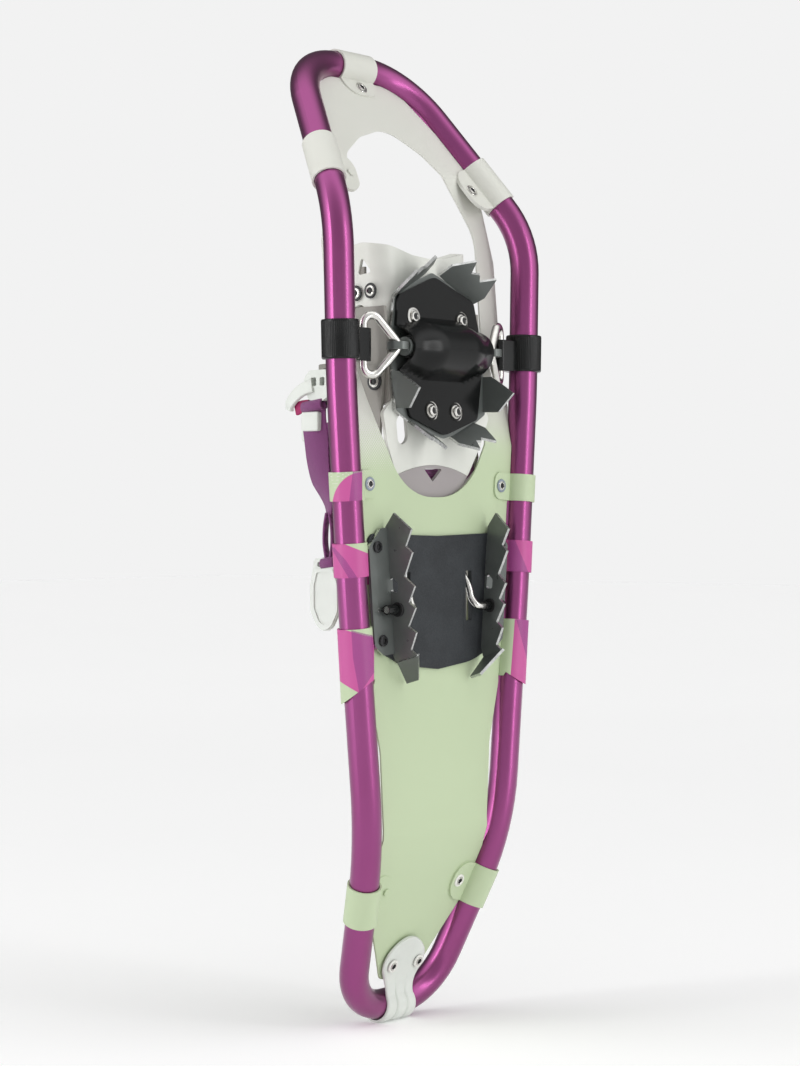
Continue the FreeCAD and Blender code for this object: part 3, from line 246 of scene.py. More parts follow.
def weave_material(name, light, dark, thread):
    """Flat-woven tape: fine diagonal ribs that cross, over a mottled yarn colour, with painted shade that
    darkens the grooves between the ribs.
    """
    shade = Shade(name, Roughness=0.72, Sheen_Weight=0.25)
    axes = shade.node("SeparateXYZ", None, Vector=shade.coords).outputs
    y, z = axes[1], axes[2]
    waves = []
    for mixed in (shade.math("ADD", y, z), shade.math("SUBTRACT", y, z)):
        waves.append(shade.math("SINE", shade.math("MULTIPLY", mixed, 2 * math.pi / thread)))
    cross = shade.math("MULTIPLY", *waves)
    height = shade.ramp(cross, -0.8, 0.8)
    fuzz = shade.noise(1500.0, 4.0)
    # colour follows the rib height: darker in the grooves is painted shade, the fuzz is random yarn tone
    rib_shade_and_fuzz = shade.math("ADD", shade.math("MULTIPLY", height, 0.6), shade.math("MULTIPLY", fuzz, 0.5))
    shade.drive("Base Color", shade.mix(rib_shade_and_fuzz, dark, light))
    shade.bump(shade.math("ADD", height, shade.math("MULTIPLY", fuzz, 0.4)), 0.00016)
    return shade.material


STEEL_DARK = plain("traction_steel", (0.150, 0.163, 0.156), (0.120, 0.132, 0.125), (0.27, 0.34), 160.0,
                   0.000008, 0.35, 40.0)
MATERIALS = {
    "anodised_tube": anodised(),
    "bare_aluminium": plain("bare_aluminium", (0.7, 0.7, 0.71), (0.6, 0.6, 0.61), (0.25, 0.4), metallic=1.0),
    "deck_sheet": deck_material(),
    "panel_plastic": plain("panel_plastic", (0.024, 0.028, 0.032), (0.014, 0.017, 0.020), (0.6, 0.8), 1400.0,
                           0.00012, 0.0, 60.0),
    "traction_steel": STEEL_DARK,
    "plate_black": plain("plate_black", (0.006, 0.007, 0.007), (0.003, 0.003, 0.003), (0.20, 0.26), 60.0,
                         0.000006, 0.0, 20.0, Specular_IOR_Level=0.24),
    "bright_steel": plain("bright_steel", (0.78, 0.77, 0.74), (0.62, 0.61, 0.58), (0.14, 0.26), 400.0,
                          0.00001, 1.0, 120.0),
    "rivet_metal": plain("rivet_metal", (0.48, 0.50, 0.52), (0.36, 0.38, 0.40), (0.25, 0.42), 600.0,
                         0.00002, 1.0, 200.0),
    "black_fastener": plain("black_fastener", (0.03, 0.03, 0.032), (0.015, 0.015, 0.016), (0.22, 0.36), 800.0,
                            0.00002, 0.3, 100.0),
    "black_rubber": plain("black_rubber", (0.008, 0.009, 0.009), (0.004, 0.004, 0.004), (0.14, 0.24), 500.0,
                          0.00001, 0.0, 60.0, Specular_IOR_Level=0.3),
    "pale_tpu": plain("pale_tpu", linear(226, 226, 219), linear(214, 214, 206), (0.32, 0.46), 350.0, 0.00003),
    # grey_tpu's grey is read off the wing where it lies in shade: partly painted shade, partly the TPU's own
    # tone
    "grey_tpu": plain("grey_tpu", linear(146, 143, 137), linear(132, 129, 122), (0.36, 0.50), 350.0, 0.00003),
    "clip_plastic": plain("clip_plastic", linear(224, 228, 222), linear(210, 214, 208), (0.34, 0.46), 500.0,
                          0.00002),
    "webbing": weave_material("webbing", linear(150, 72, 138), linear(72, 24, 66), 0.0013),
    "bearing_plastic": plain("bearing_plastic", (0.02, 0.02, 0.02), (0.012, 0.012, 0.012), (0.3, 0.5)),
}

scene = bpy.context.scene
for name, thing in NODES.items():
    thing.data.materials.clear()
    thing.data.materials.append(MATERIALS[SLOT_OF[name]])

# ------------------------------------------------------------------ mesh helpers


def piece(name, bm, body, slot, materials=None, stands_for=(), sharp=32.0):
    """Turns a bmesh in the row frame into a finished object that rides on a CAD body."""
    mesh = bpy.data.meshes.new(name)
    bmesh.ops.recalc_face_normals(bm, faces=bm.faces)
    bm.to_mesh(mesh)
    bm.free()
    for material in materials or [MATERIALS[slot]]:
        mesh.materials.append(material)
    mesh.shade_smooth()
    mesh.set_sharp_from_angle(angle=math.radians(sharp))
    made = bpy.data.objects.new(name, mesh)
    scene.collection.objects.link(made)
    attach(made, body)
    if stands_for:
        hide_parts(*stands_for)
    return made


def applied(made):
    """Bakes an object's modifiers into its mesh."""
    evaluated = made.evaluated_get(bpy.context.evaluated_depsgraph_get())
    mesh = bpy.data.meshes.new_from_object(evaluated)
    old = made.data
    made.modifiers.clear()
    made.data = mesh
    bpy.data.meshes.remove(old)
    return made


def node_bmesh(node):
    """The CAD node's mesh, welded and with its flat faces joined."""
    source = NODES[node].data
    bm = bmesh.new()
    verts = [bm.verts.new(v.co) for v in source.vertices]
    for source_face in source.polygons:
        try:
            bm.faces.new([verts[i] for i in source_face.vertices])
        except ValueError:
            continue
    bmesh.ops.remove_doubles(bm, verts=bm.verts, dist=2e-6)
    bmesh.ops.dissolve_limit(bm, angle_limit=math.radians(0.6), verts=bm.verts, edges=bm.edges)
    return bm


def mark_cut_edges(bm, sheets):
    """Gives every face that isn't one of the sheet's main faces the second material."""
    directions = []
    for face in bm.faces:
        for entry in directions:
            if entry[0].dot(face.normal) > 0.998:
                entry[1] += face.calc_area()
                break
        else:
            directions.append([face.normal.copy(), face.calc_area()])
    main = [entry[0] for entry in sorted(directions, key=lambda entry: -entry[1])[:sheets]]
    for face in bm.faces:
        face.material_index = 0 if any(face.normal.dot(normal) > 0.99 for normal in main) else 1


TAB_FOOT, TAB_FOOT_SPREAD, TAB_INNER_X = 0.2241, 0.0035, 0.066


def slant_rear_tabs(bm):
    """Cuts the lower edges of the two rear tabs on a slant."""
    for vert in bm.verts:
        across = OBLIQUE_X * vert.co.x - OBLIQUE_Y * vert.co.y
        if abs(vert.co.z - TAB_FOOT) > TAB_FOOT_SPREAD or abs(vert.co.x) < TAB_INNER_X:
            continue
        if vert.co.x < 0:
            vert.co.z = 0.2184 + 0.75 * (across + 0.023)
        else:
            vert.co.z = 0.2264 - 0.66 * (across - 0.079)


def refine(node, bevel=0.3, segments=2, sheets=0, edge=None, limit=30.0, reshape=None):
    """Replaces a CAD node with a copy of it whose edges are rounded, and optionally with bright cut edges."""
    bm = node_bmesh(node)
    if reshape:
        reshape(bm)
    bm.normal_update()
    materials = [MATERIALS[SLOT_OF[node]]]
    if sheets:
        mark_cut_edges(bm, sheets)
        materials.append(edge)
    made = piece("look_" + node, bm, BODY_OF[node], SLOT_OF[node], materials, [node])
    rounding = made.modifiers.new("rounding", "BEVEL")
    rounding.width = bevel * MM
    rounding.segments = segments
    rounding.limit_method = "ANGLE"
    rounding.angle_limit = math.radians(limit)
    rounding.harden_normals = True
    rounding.use_clamp_overlap = True
    return applied(made)


def lathe(bm, centre, axis, profile, steps=48):
    """Turns a profile of (radius mm, height mm, material index) about an axis through centre."""
    axis = axis.normalized()
    side = axis.orthogonal().normalized()
    other = axis.cross(side)
    rings = []
    for radius, height, material in profile:
        middle = centre + axis * (height * MM)
        if radius == 0:
            rings.append(([bm.verts.new(middle)], material))
            continue
        ring = []
        for i in range(steps):
            angle = 2 * math.pi * i / steps
            spoke = side * math.cos(angle) + other * math.sin(angle)
            ring.append(bm.verts.new(middle + spoke * (radius * MM)))
        rings.append((ring, material))
    for (first, _), (second, material) in zip(rings, rings[1:]):
        for i in range(steps):
            j = (i + 1) % steps
            corners = [first[i % len(first)], first[j % len(first)],
                       second[j % len(second)], second[i % len(second)]]
            face = bm.faces.new(list(dict.fromkeys(corners)))
            face.material_index = material


def islands(node):
    """Centre, outward direction and radius of the largest flat face of each separate solid of a CAD node."""
    bm = node_bmesh(node)
    bm.normal_update()
    left = set(bm.faces)
    found = []
    while left:
        stack = [left.pop()]
        solid = list(stack)
        while stack:
            for edge in stack.pop().edges:
                for face in edge.link_faces:
                    if face in left:
                        left.remove(face)
                        stack.append(face)
                        solid.append(face)
        top = max(solid, key=lambda face: (round(face.calc_area() * 1e9), -face.calc_center_median().y))
        centre = top.calc_center_bounds()
        reach = max((v.co - centre).length for v in top.verts)
        found.append((centre.copy(), top.normal.copy(), reach / MM))
    bm.free()
    return found


def curve_through(points, steps=8):
    """A smooth line through points given in mm of the drawing frame."""
    knots = [Vector(p) for p in points]
    knots = [knots[0] * 2 - knots[1]] + knots + [knots[-1] * 2 - knots[-2]]
    line = []
    for a, b, c, d in zip(knots, knots[1:], knots[2:], knots[3:]):
        for i in range(steps):
            t = i / steps
            line.append(0.5 * (2 * b + (c - a) * t + (2 * a - 5 * b + 4 * c - d) * t ** 2
                               + (3 * b - a - 3 * c + d) * t ** 3))
    line.append(knots[-2])
    return line


def ribbon(bm, line, across, widths, thickness, round_share=0.35, material=0):
    """A strap along a line of drawing-frame points; across gives its width direction at the start and end."""
    count = len(line)
    rings = []
    for i, point in enumerate(line):
        t = i / (count - 1)
        tangent = (line[min(i + 1, count - 1)] - line[max(i - 1, 0)]).normalized()
        wide = across(t)
        wide = (wide - tangent * wide.dot(tangent)).normalized()
        thin = tangent.cross(wide)
        half = widths(t) / 2
        deep = thickness / 2
        inset = deep * round_share
        section = []
        for sx, sy in ((1, 1), (-1, 1), (-1, -1), (1, -1)):
            near = (sx * (half - inset), sy * deep)
            far = (sx * half, sy * (deep - inset))
            section += [far, near] if sx * sy > 0 else [near, far]
        rings.append([bm.verts.new(at(*(point + wide * u + thin * v))) for u, v in section])
    for first, second in zip(rings, rings[1:]):
        for i in range(len(first)):
            j = (i + 1) % len(first)
            bm.faces.new([first[i], first[j], second[j], second[i]]).material_index = material
    bm.faces.new(rings[0]).material_index = material
    bm.faces.new(rings[-1]).material_index = material


# ------------------------------------------------------------------ refined CAD pieces

CUT_STEEL = plain("cut_steel", (0.62, 0.63, 0.62), (0.42, 0.43, 0.42), (0.22, 0.36), 700.0,
                  0.00001, 1.0, 300.0)
for side in ("left", "right"):
    refine(side + "_rail", 0.22, 2, 6, CUT_STEEL)
    refine(side + "_side_plate", 0.7, 3)
    refine(side + "_bushing", 0.4, 2)
    refine(side + "_lifter_bush", 0.3, 2)
refine("toe_crampon", 0.22, 2, 14, CUT_STEEL)


def swell(bm):
    """Thickens a wire by a coat of plating."""
    bm.normal_update()
    for vert in bm.verts:
        vert.co += vert.normal * 0.0004


refine("left_ring", 0.15, 2, reshape=swell)
refine("right_ring", 0.15, 2, reshape=swell)
for node in ("heel_panel", "pivot_axle", "heel_strap", "toe_buckle", "instep_buckle_hinge",
             "toe_buckle_hinge", "lifter_sleeves", "lifter_end_caps"):
    refine(node, 0.5, 3)
refine("deck", 0.25, 2, reshape=slant_rear_tabs)
refine("toe_strap", 0.7, 3)
refine("instep_strap", 0.7, 3)

# ------------------------------------------------------------------ rivets and screws

# near-black stand-in for the shade inside rivet bores, screw sockets and rivet-head recesses: painted shade
PAINTED_HOLE_SHADE = plain("rivet_hole_painted_shade", (0.012, 0.012, 0.013), (0.006, 0.006, 0.006), (0.4, 0.6))
PALE_RING = plain("rivet_ring_pale", linear(232, 232, 226), linear(220, 220, 214), (0.3, 0.4))
BLUE_RING = plain("rivet_ring_blue", linear(150, 160, 172), linear(132, 142, 156), (0.3, 0.42), metallic=0.4)


def eyelet(bm, centre, normal, outer, proud, ring=1):
    """A dished tubular rivet: flat ring, raised lip, bright bore wall, and a near-black disc at the bottom of
    the bore that is painted shade.
    """
    profile = [(outer, -proud, ring), (outer, -0.3, ring), (outer - 0.25, -0.02, ring),
               (outer * 0.68, 0.0, ring), (outer * 0.66, -0.18, 0), (outer * 0.60, -0.15, 0),
               (outer * 0.57, 0.35, 0), (outer * 0.48, 0.45, 0), (outer * 0.41, 0.25, 0),
               (outer * 0.38, -0.35, 2), (outer * 0.18, -0.5, 2), (outer * 0.14, -0.25, 2), (0, -0.22, 2)]
    lathe(bm, centre, normal, profile)


def eyelets(node, ring_of, outer, proud):
    bm = bmesh.new()
    rings = []
    for centre, normal, reach in islands(node):
        ring = ring_of(centre)
        if ring not in rings:
            rings.append(ring)
        eyelet(bm, centre - normal * 0.0004, normal, outer, proud, 3 + rings.index(ring))
    # index 2, the bottom of the bore, takes the near-black painted shade
    materials = [MATERIALS["bright_steel"], PAINTED_HOLE_SHADE, PAINTED_HOLE_SHADE] + rings
    return piece("look_" + node, bm, BODY_OF[node], SLOT_OF[node], materials, [node])


def deck_ring(centre):
    if centre.z < 0.2:
        return PALE_RING
    return BLUE_RING if centre.z < 0.45 else MATERIALS["bright_steel"]


eyelets("deck_rivets", deck_ring, 4.4, 0.9)
tails = bmesh.new()
for centre, normal, reach in islands("deck_rivets"):
    if normal.y > 0:
        lathe(tails, centre - normal * 0.0048, normal * -1,
              [(2.4, -1.0, 0), (2.4, -0.15, 0), (2.1, 0.1, 0), (0, 0.2, 0)])
piece("look_rivet_tails", tails, "frame", "deck_sheet")
eyelets("tail_clip_rivets", lambda centre: PALE_RING, 4.4, 0.9)
for side in ("left", "right"):
    eyelets(side + "_wing_rivets", lambda centre: MATERIALS["black_fastener"], 5.0, 0.9)
eyelets("strap_pins", lambda centre: MATERIALS["black_fastener"], 5.6, 1.2)

screws = bmesh.new()
for centre, normal, reach in islands("rail_screws"):
    lathe(screws, centre, normal, [(3.7, -1.6, 0), (3.7, -0.5, 0), (3.2, 0.1, 0), (2.2, 0.2, 0)])
    # the socket is lined with the near-black material as painted shade in the recess
    lathe(screws, centre, normal, [(2.2, 0.2, 1), (2.0, 0.0, 1), (1.9, -1.0, 1), (0, -1.2, 1)], 6)
piece("look_rail_screws", screws, "frame", "black_fastener", [MATERIALS["black_fastener"], PAINTED_HOLE_SHADE],
      ["rail_screws"])

washers = bmesh.new()
for centre, normal, reach in islands("plate_washers"):
    lathe(washers, centre, normal, [(6.0, -1.0, 0), (6.0, -0.25, 0), (5.7, 0.0, 0), (4.6, 0.05, 0),
                                    (4.4, -0.2, 0),
                                    (3.7, -0.2, 0), (3.7, -0.9, 0)])
piece("look_plate_washers", washers, "binding", "bright_steel", None, ["plate_washers"])
heads = bmesh.new()
for centre, normal, reach in islands("plate_rivets"):
    # the recess in each head is painted near-black: painted shade
    lathe(heads, centre, normal, [(3.6, -1.4, 0), (3.6, -0.5, 0), (3.1, 0.1, 0), (2.3, 0.2, 0),
                                  (2.0, -0.3, 0),
                                  (1.5, -0.5, 1), (0.6, -0.35, 1), (0, -0.3, 1)])
piece("look_plate_rivets", heads, "binding", "bright_steel", [MATERIALS["bright_steel"], PAINTED_HOLE_SHADE],
      ["plate_rivets"])

# ------------------------------------------------------------------ sheets bent from flat outlines


def rounded(outline, steps=7):
    """Corner points of an outline of (u, v, radius) entries, with each corner drawn as an arc."""
    points = []
    corners = [Vector((entry[0], entry[1])) for entry in outline]
    for i, entry in enumerate(outline):
        corner = corners[i]
        radius = entry[2] if len(entry) > 2 else 0
        back = (corners[i - 1] - corner).normalized()
        ahead = (corners[(i + 1) % len(corners)] - corner).normalized()
        if not radius:
            points.append(corner)
            continue
        half_turn = (math.pi - back.angle(ahead)) / 2
        reach = radius * math.tan(half_turn)
        centre = corner + (back + ahead).normalized() * (radius / math.cos(half_turn))
        first, last = corner + back * reach - centre, corner + ahead * reach - centre
        sweep = math.atan2(first.x * last.y - first.y * last.x, first.dot(last))
        for k in range(steps + 1):
            angle = sweep * k / steps
            turned = Vector((first.x * math.cos(angle) - first.y * math.sin(angle),
                             first.x * math.sin(angle) + first.y * math.cos(angle)))
            points.append(centre + turned)
    return points


def mirrored(outline):
    """Completes a right-hand outline whose first and last points lie on the middle line."""
    return list(outline) + [(-entry[0], *entry[1:]) for entry in reversed(outline[1:-1])]


def sheet_bmesh(outline, holes, step, thickness):
    """A flat plate in its own (u, v) plane, in mm, cut into cells of about step so that it can be bent."""
    bm = bmesh.new()
    edges = []
    for loop in [outline] + list(holes):
        ring = [bm.verts.new((p.x, p.y, 0)) for p in loop]
        edges += [bm.edges.new((a, b)) for a, b in zip(ring, ring[1:] + ring[:1])]
    bmesh.ops.triangle_fill(bm, edges=edges, use_beauty=True)
    bmesh.ops.dissolve_limit(bm, angle_limit=0.01, verts=bm.verts, edges=bm.edges)
    for axis in (0, 1):
        low, high = min(p[axis] for p in outline), max(p[axis] for p in outline)
        normal = Vector((1, 0, 0)) if axis == 0 else Vector((0, 1, 0))
        for k in range(1, int((high - low) / step)):
            where = normal * (low + k * step)
            everything = bm.verts[:] + bm.edges[:] + bm.faces[:]
            bmesh.ops.bisect_plane(bm, geom=everything, plane_co=where, plane_no=normal)
    made = bmesh.ops.extrude_face_region(bm, geom=bm.faces[:])
    raised = [part for part in made["geom"] if isinstance(part, bmesh.types.BMVert)]
    bmesh.ops.translate(bm, vec=(0, 0, thickness), verts=raised)
    return bm


def bend(bm, place):
    """Moves each (u, v, depth) vertex to the row frame with place, which gives drawing-frame mm."""
    for vert in bm.verts:
        vert.co = at(*place(*vert.co))


def soften(made, width, segments=3, limit=40.0):
    rounding = made.modifiers.new("rounding", "BEVEL")
    rounding.width = width * MM
    rounding.segments = segments
    rounding.limit_method = "ANGLE"
    rounding.angle_limit = math.radians(limit)
    return applied(made)


TILT = math.radians(4.8)
TOEWARD = Vector((0, math.sin(TILT), math.cos(TILT)))
BOOTWARD = Vector((0, math.cos(TILT), -math.sin(TILT)))


def binding(across, up, offset):
    """A point given about the toe pivot: across, towards the toe, and towards the boot."""
    return DRAWING_PIVOT + Vector((across, 0, 0)) + TOEWARD * up + BOOTWARD * offset


# ------------------------------------------------------------------ toe plate

PLATE_OUTLINE = [(0, 48.0, 10), (38.0, 33.5, 5), (41.5, 14.0, 4), (39.8, 6.0, 2), (39.8, -6.0, 2),
                 (41.5, -14.0, 4),
                 (34.0, -44.0, 5), (0, -55.0, 10)]


def dome(across, up):
    """How far the pressed plate stands out over the pivot: a barrel that tapers to its ends."""
    taper = min(1.0, max(0.0, (abs(across) - 14.0) / 26.0))
    taper = taper * taper * (3 - 2 * taper)
    height = 20.5 - 7.5 * taper
    reach = 20.0 - 6.0 * taper
    share = abs(up) / reach
    return height * (1 - share ** 2.2) ** 0.85 if share < 1 else 0.0


plate = sheet_bmesh(rounded(mirrored(PLATE_OUTLINE)), [], 1.5, 2.0)
bend(plate, lambda u, v, depth: binding(u, v, 5.0 + depth - dome(u, v) - 0.35 * (u / 40) ** 2))
soften(piece("look_toe_plate", plate, "binding", "plate_black", None, ["toe_plate"], 50.0), 0.45)

# ------------------------------------------------------------------ harness: bed and wings as one shell

BED_LIFT = 9.3
WALL = 46.2
CORNER = 15.0
FLAT = WALL - CORNER
ARC = CORNER * math.pi / 2
SHELL_OUTLINE = [
    (0, 495.5), (16.0, 496.5, 30), (38.0, 501.5, 20), (56.0, 503.5, 20), (74.0, 500.5, 10), (85.0, 491.0, 10),
    (91.0, 476.0, 12), (83.0, 463.0, 6), (74.0, 463.5, 3), (66.0, 462.5, 5), (60.0, 464.0, 3),
    (52.0, 458.0, 4),
    (47.0, 436.0, 20), (45.5, 402.0, 4), (53.5, 394.0, 3), (46.5, 374.0, 14), (37.0, 357.0, 14),
    (27.0, 345.0, 8),
    (21.0, 329.0, 5), (0, 329.0),
]


def bed_surface(z):
    """The bed's ground-side face: a tilted plane that eases into the heel tongue."""
    plane = DRAWING_PIVOT.y + BED_LIFT / math.cos(TILT) + (z - DRAWING_PIVOT.z) * math.tan(TILT)
    knee = 404.0
    if z > knee:
        return plane
    start = DRAWING_PIVOT.y + BED_LIFT / math.cos(TILT) + (knee - DRAWING_PIVOT.z) * math.tan(TILT)
    share = min(1.0, (knee - z) / 56.0)
    return start + (3.1 - start) * share * share * (3 - 2 * share)


def harness_material():
    """Off-white TPU; below an arched step the heel tongue is painted a warm grey, painted shade where the
    tongue turns away from the light.
    """
    shade = Shade("harness_tpu_tongue_shade", IOR=1.45)
    axes = shade.node("SeparateXYZ", None, Vector=shade.coords).outputs
    arch = shade.math("MULTIPLY", shade.math("MULTIPLY", axes[0], axes[0]), 5.2)
    # step marks the arched step: it shapes the bump and masks the painted shade on the tongue below it
    step = shade.ramp(shade.math("ADD", axes[2], arch), 0.3640, 0.3634)
    blotch = shade.ramp(shade.noise(25.0), 0.3, 0.7)
    light = shade.mix(blotch, linear(214, 216, 208), linear(224, 225, 218))
    # the warm grey below the step is painted shade on the same off-white TPU
    shade.drive("Base Color", shade.mix(step, light, linear(158, 152, 152)))
    grain = shade.noise(350.0, 5.0)
    shade.drive("Roughness", shade.ramp(grain, 0.3, 0.7, 0.30, 0.44))
    shade.bump(shade.math("SUBTRACT", shade.math("MULTIPLY", grain, 0.02), step), 0.0006)
    return shade.material


def shell(u, z, depth):
    """Wraps the flat outline: flat bed, rounded corner, then a wall that rises towards the boot."""
    side = 1 if u > 0 else -1
    along = abs(u)
    base = bed_surface(z)
    opening = min(1.0, max(0.0, (z - 405.0) / 30.0))
    if along <= FLAT or opening == 0.0:
        return u, base + depth, z
    if along <= FLAT + ARC:
        angle = (along - FLAT) / CORNER * opening
        reach = CORNER if opening > 0.99 else CORNER / max(opening, 0.05)
        x = FLAT + (reach - depth) * math.sin(angle) if opening > 0.99 else FLAT + reach * math.sin(angle)
        y = reach * (1 - math.cos(angle)) + depth * math.cos(angle)
        return side * x, base + y, z
    rise = along - FLAT - ARC
    return side * (WALL - depth), base + CORNER + rise, z


oval = [(-5.0, -9.5, 4.9), (5.0, -9.5, 4.9), (5.0, 9.5, 4.9), (-5.0, 9.5, 4.9)]
shell_holes = []
for side in (-1, 1):
    turn = side * math.radians(14)
    hole = []
    for p in rounded(oval):
        hole.append(Vector((side * 34.0 + p.x * math.cos(turn) + p.y * math.sin(turn),
                            384.0 - p.x * math.sin(turn) + p.y * math.cos(turn))))
    shell_holes.append(hole)
    window = [(side * 49.5, 484.0, 1.5), (side * 61.0, 482.5, 1.5), (side * 57.0, 494.5, 1.5)]
    shell_holes.append(rounded(window if side > 0 else window[::-1]))
shell_holes.append(rounded([(-9.5, 359.4, 0.8), (9.5, 359.4, 0.8), (0.0, 351.0, 0.8)]))
harness = sheet_bmesh(rounded(mirrored(SHELL_OUTLINE)), shell_holes, 2.5, 2.6)
bend(harness, shell)
look_harness = piece("look_harness", harness, "binding", "pale_tpu", [harness_material()],
                     ["harness_bed", "left_wing", "right_wing"], 50.0)
soften(look_harness, 0.7)

# ------------------------------------------------------------------ collars

LUG_HALF = 10.4
for side, sign in (("left", -1), ("right", 1)):
    middle = Vector((sign * 92.4, 0, 438.0))
    axis = Vector((sign * 0.0267, 0, 1)).normalized()
    out = Vector((1, 0, 0))
    out = (out - axis * out.dot(axis)).normalized()
    other = axis.cross(out)
    collar = bmesh.new()
    steps, half = 360, 12.25
    rings = []
    for radius, height, rib in ((9.65, -half, 0), (11.4, -half, 0), (11.85, -half + 0.4, 0),
                                (11.95, -half + 1.3, 0),
                                (11.95, -half + 1.7, 1), (11.95, half - 1.7, 1), (11.95, half - 1.3, 0),
                                (11.85, half - 0.4, 0), (11.4, half, 0), (9.65, half, 0)):
        ring = []
        for i in range(steps):
            angle = 2 * math.pi * i / steps
            relief = 0.22 * rib * (abs(math.sin(angle * 30)) ** 0.6 - 1)
            spoke = out * math.cos(angle) + other * math.sin(angle)
            point = middle + axis * height + spoke * (radius + relief)
            ring.append(collar.verts.new(at(*point)))
        rings.append(ring)
    for first, second in zip(rings, rings[1:] + rings[:1]):
        for i in range(steps):
            j = (i + 1) % steps
            collar.faces.new((first[i], first[j], second[j], second[i]))
    piece(f"look_{side}_collar", collar, "frame", "black_rubber", None, [side + "_collar"], 60.0)
    lug = bmesh.new()
    turns = [math.pi * k / 14 for k in range(15)]
    path = [(82.5, -3.0), *((69.0 - 5.0 * math.sin(a), 2.0 - 5.0 * math.cos(a)) for a in turns), (82.5, 7.0)]
    low = [lug.verts.new(at(sign * x, y, DRAWING_PIVOT.z - LUG_HALF)) for x, y in path]
    high = [lug.verts.new(at(sign * x, y, DRAWING_PIVOT.z + LUG_HALF)) for x, y in path]
    lug.faces.new(low)
    lug.faces.new(high)
    for i in range(len(path)):
        j = (i + 1) % len(path)
        lug.faces.new((low[i], low[j], high[j], high[i]))
    soften(piece(f"look_{side}_lug", lug, "frame", "black_rubber"), 0.6)

# ------------------------------------------------------------------ webbing

TACK = plain("bar_tack", linear(176, 44, 104), linear(126, 22, 70), (0.6, 0.8), 1200.0, 0.0002)
LINE_UPPER = [(-56.1, 55.5, 402.0), (-56.3, 55.3, 391.0), (-56.6, 53.0, 378.0), (-56.8, 51.6, 366.0),
              (-56.8, 49.4, 355.0), (-56.6, 45.0, 345.0), (-56.3, 42.6, 337.0), (-56.2, 42.4, 330.0)]
tape = bmesh.new()
ribbon(tape, curve_through(LINE_UPPER), lambda t: Vector((0.9 * max(0.0, t - 0.3) - 0.2, 1.0 - 0.3 * t, 0)),
       lambda t: 17.6 - 8.5 * max(0.0, t - 0.6) / 0.4, 1.5)
behind = curve_through([(-53.6, 50.0, 388.0), (-53.4, 47.5, 375.0), (-53.6, 44.5, 362.0),
                        (-54.4, 43.0, 350.0)])
ribbon(tape, behind, lambda t: Vector((0.1, 1.0, 0)), lambda t: 15.0, 1.5)
for spread in (-1, 1):
    strand = curve_through([(-56.2, 42.4 + spread * 1.2, 331.0), (-56.2, 42.4 + spread * 3.0, 322.0),
                            (-56.2, 42.4 + spread * 3.4, 312.0), (-56.1, 42.4 + spread * 2.2, 304.0),
                            (-56.1, 42.4 + spread * 1.6, 301.0)])
    ribbon(tape, strand, lambda t: Vector((1.0, 0.1, 0)), lambda t: 5.0, 1.5)
for y, z, wide in ((42.4, 299.0, 11.0), (55.5, 400.0, 17.4)):
    fold = curve_through([(-56.1 + 3.2 * math.sin(a), y, z + 3.2 * math.cos(a))
                          for a in [2 * math.pi * k / 12 for k in range(13)]], 3)
    ribbon(tape, fold, lambda t: Vector((0, 1, -0.12)), lambda t: wide, 1.5)
piece("look_pull_strap", tape, BODY_OF["pull_strap"], "webbing", None, ["pull_strap"], 50.0)

heel_web = bmesh.new()
around = curve_through([(-48.8, 14.0, 398.0), (-48.6, 12.5, 380.0), (-43.0, 10.5, 364.0), (-22.0, 9.0, 354.0),
                        (0.0, 8.6, 352.0), (22.0, 9.0, 354.0), (43.0, 10.5, 364.0), (48.6, 12.5, 380.0),
                        (48.8, 14.0, 398.0)])
ribbon(heel_web, around, lambda t: Vector((0.0, 0.35, 1.0)) if 0.2 < t < 0.8 else Vector((0.0, 1.0, 0.2)),
       lambda t: 15.0, 1.5)
piece("look_heel_webbing", heel_web, "binding", "webbing", None, (), 50.0)

# ------------------------------------------------------------------ moulded webbing hardware


def wall_slab(outline, holes, near, thickness, shift=0.0):
    """A flat moulded part standing beside the harness, drawn as (y, z) in the drawing frame."""
    bm = sheet_bmesh(outline, holes, 3.0, thickness)
    bend(bm, lambda u, v, depth: (near - depth, u + shift, v))
    return bm


buckle_outline = [(61.5, 409.0, 3), (62.6, 418.0, 4), (57.5, 422.8, 3), (42.0, 422.8, 3), (39.2, 417.5, 3),
                  (39.2, 407.0, 3), (46.4, 402.7, 3), (58.0, 403.5, 3)]
buckle_holes = [rounded([(56.5, 412.5, 1), (56.5, 418.0, 1), (51.8, 418.0, 1), (51.8, 412.5, 1)]),
                rounded([(48.8, 412.5, 1), (48.8, 418.0, 1), (44.6, 418.0, 1), (44.6, 412.5, 1)])]
soften(piece("look_instep_buckle", wall_slab(rounded(buckle_outline), buckle_holes, -52.6, 5.6),
             "buckle_instep", "clip_plastic", None, ["instep_buckle"], 50.0), 1.0)
lever = bmesh.new()
lever_line = curve_through([(-57.8, 55.0, 412.5), (-59.4, 62.0, 410.5), (-59.8, 68.5, 406.5),
                            (-59.4, 73.5, 401.5), (-58.8, 74.6, 397.5)])
ribbon(lever, lever_line, lambda t: Vector((0.15, 0.5, 1.0)), lambda t: 9.0 - 1.5 * t, 3.2)
soften(piece("look_buckle_lever", lever, "buckle_instep", "clip_plastic", None, (), 50.0), 0.8)
tack = bmesh.new()
ribbon(tack, curve_through([(-56.6, 59.0, 400.0), (-57.0, 65.0, 399.5), (-56.8, 70.5, 398.0)]),
       lambda t: Vector((0, 0.1, 1)), lambda t: 8.0, 2.6)
piece("look_bar_tack", tack, "buckle_instep", "webbing", [TACK], (), 50.0)
keeper_outline = [(49.5, 383.5, 1.5), (64.2, 383.5, 1.5), (64.2, 396.0, 1.5), (49.5, 396.0, 1.5)]
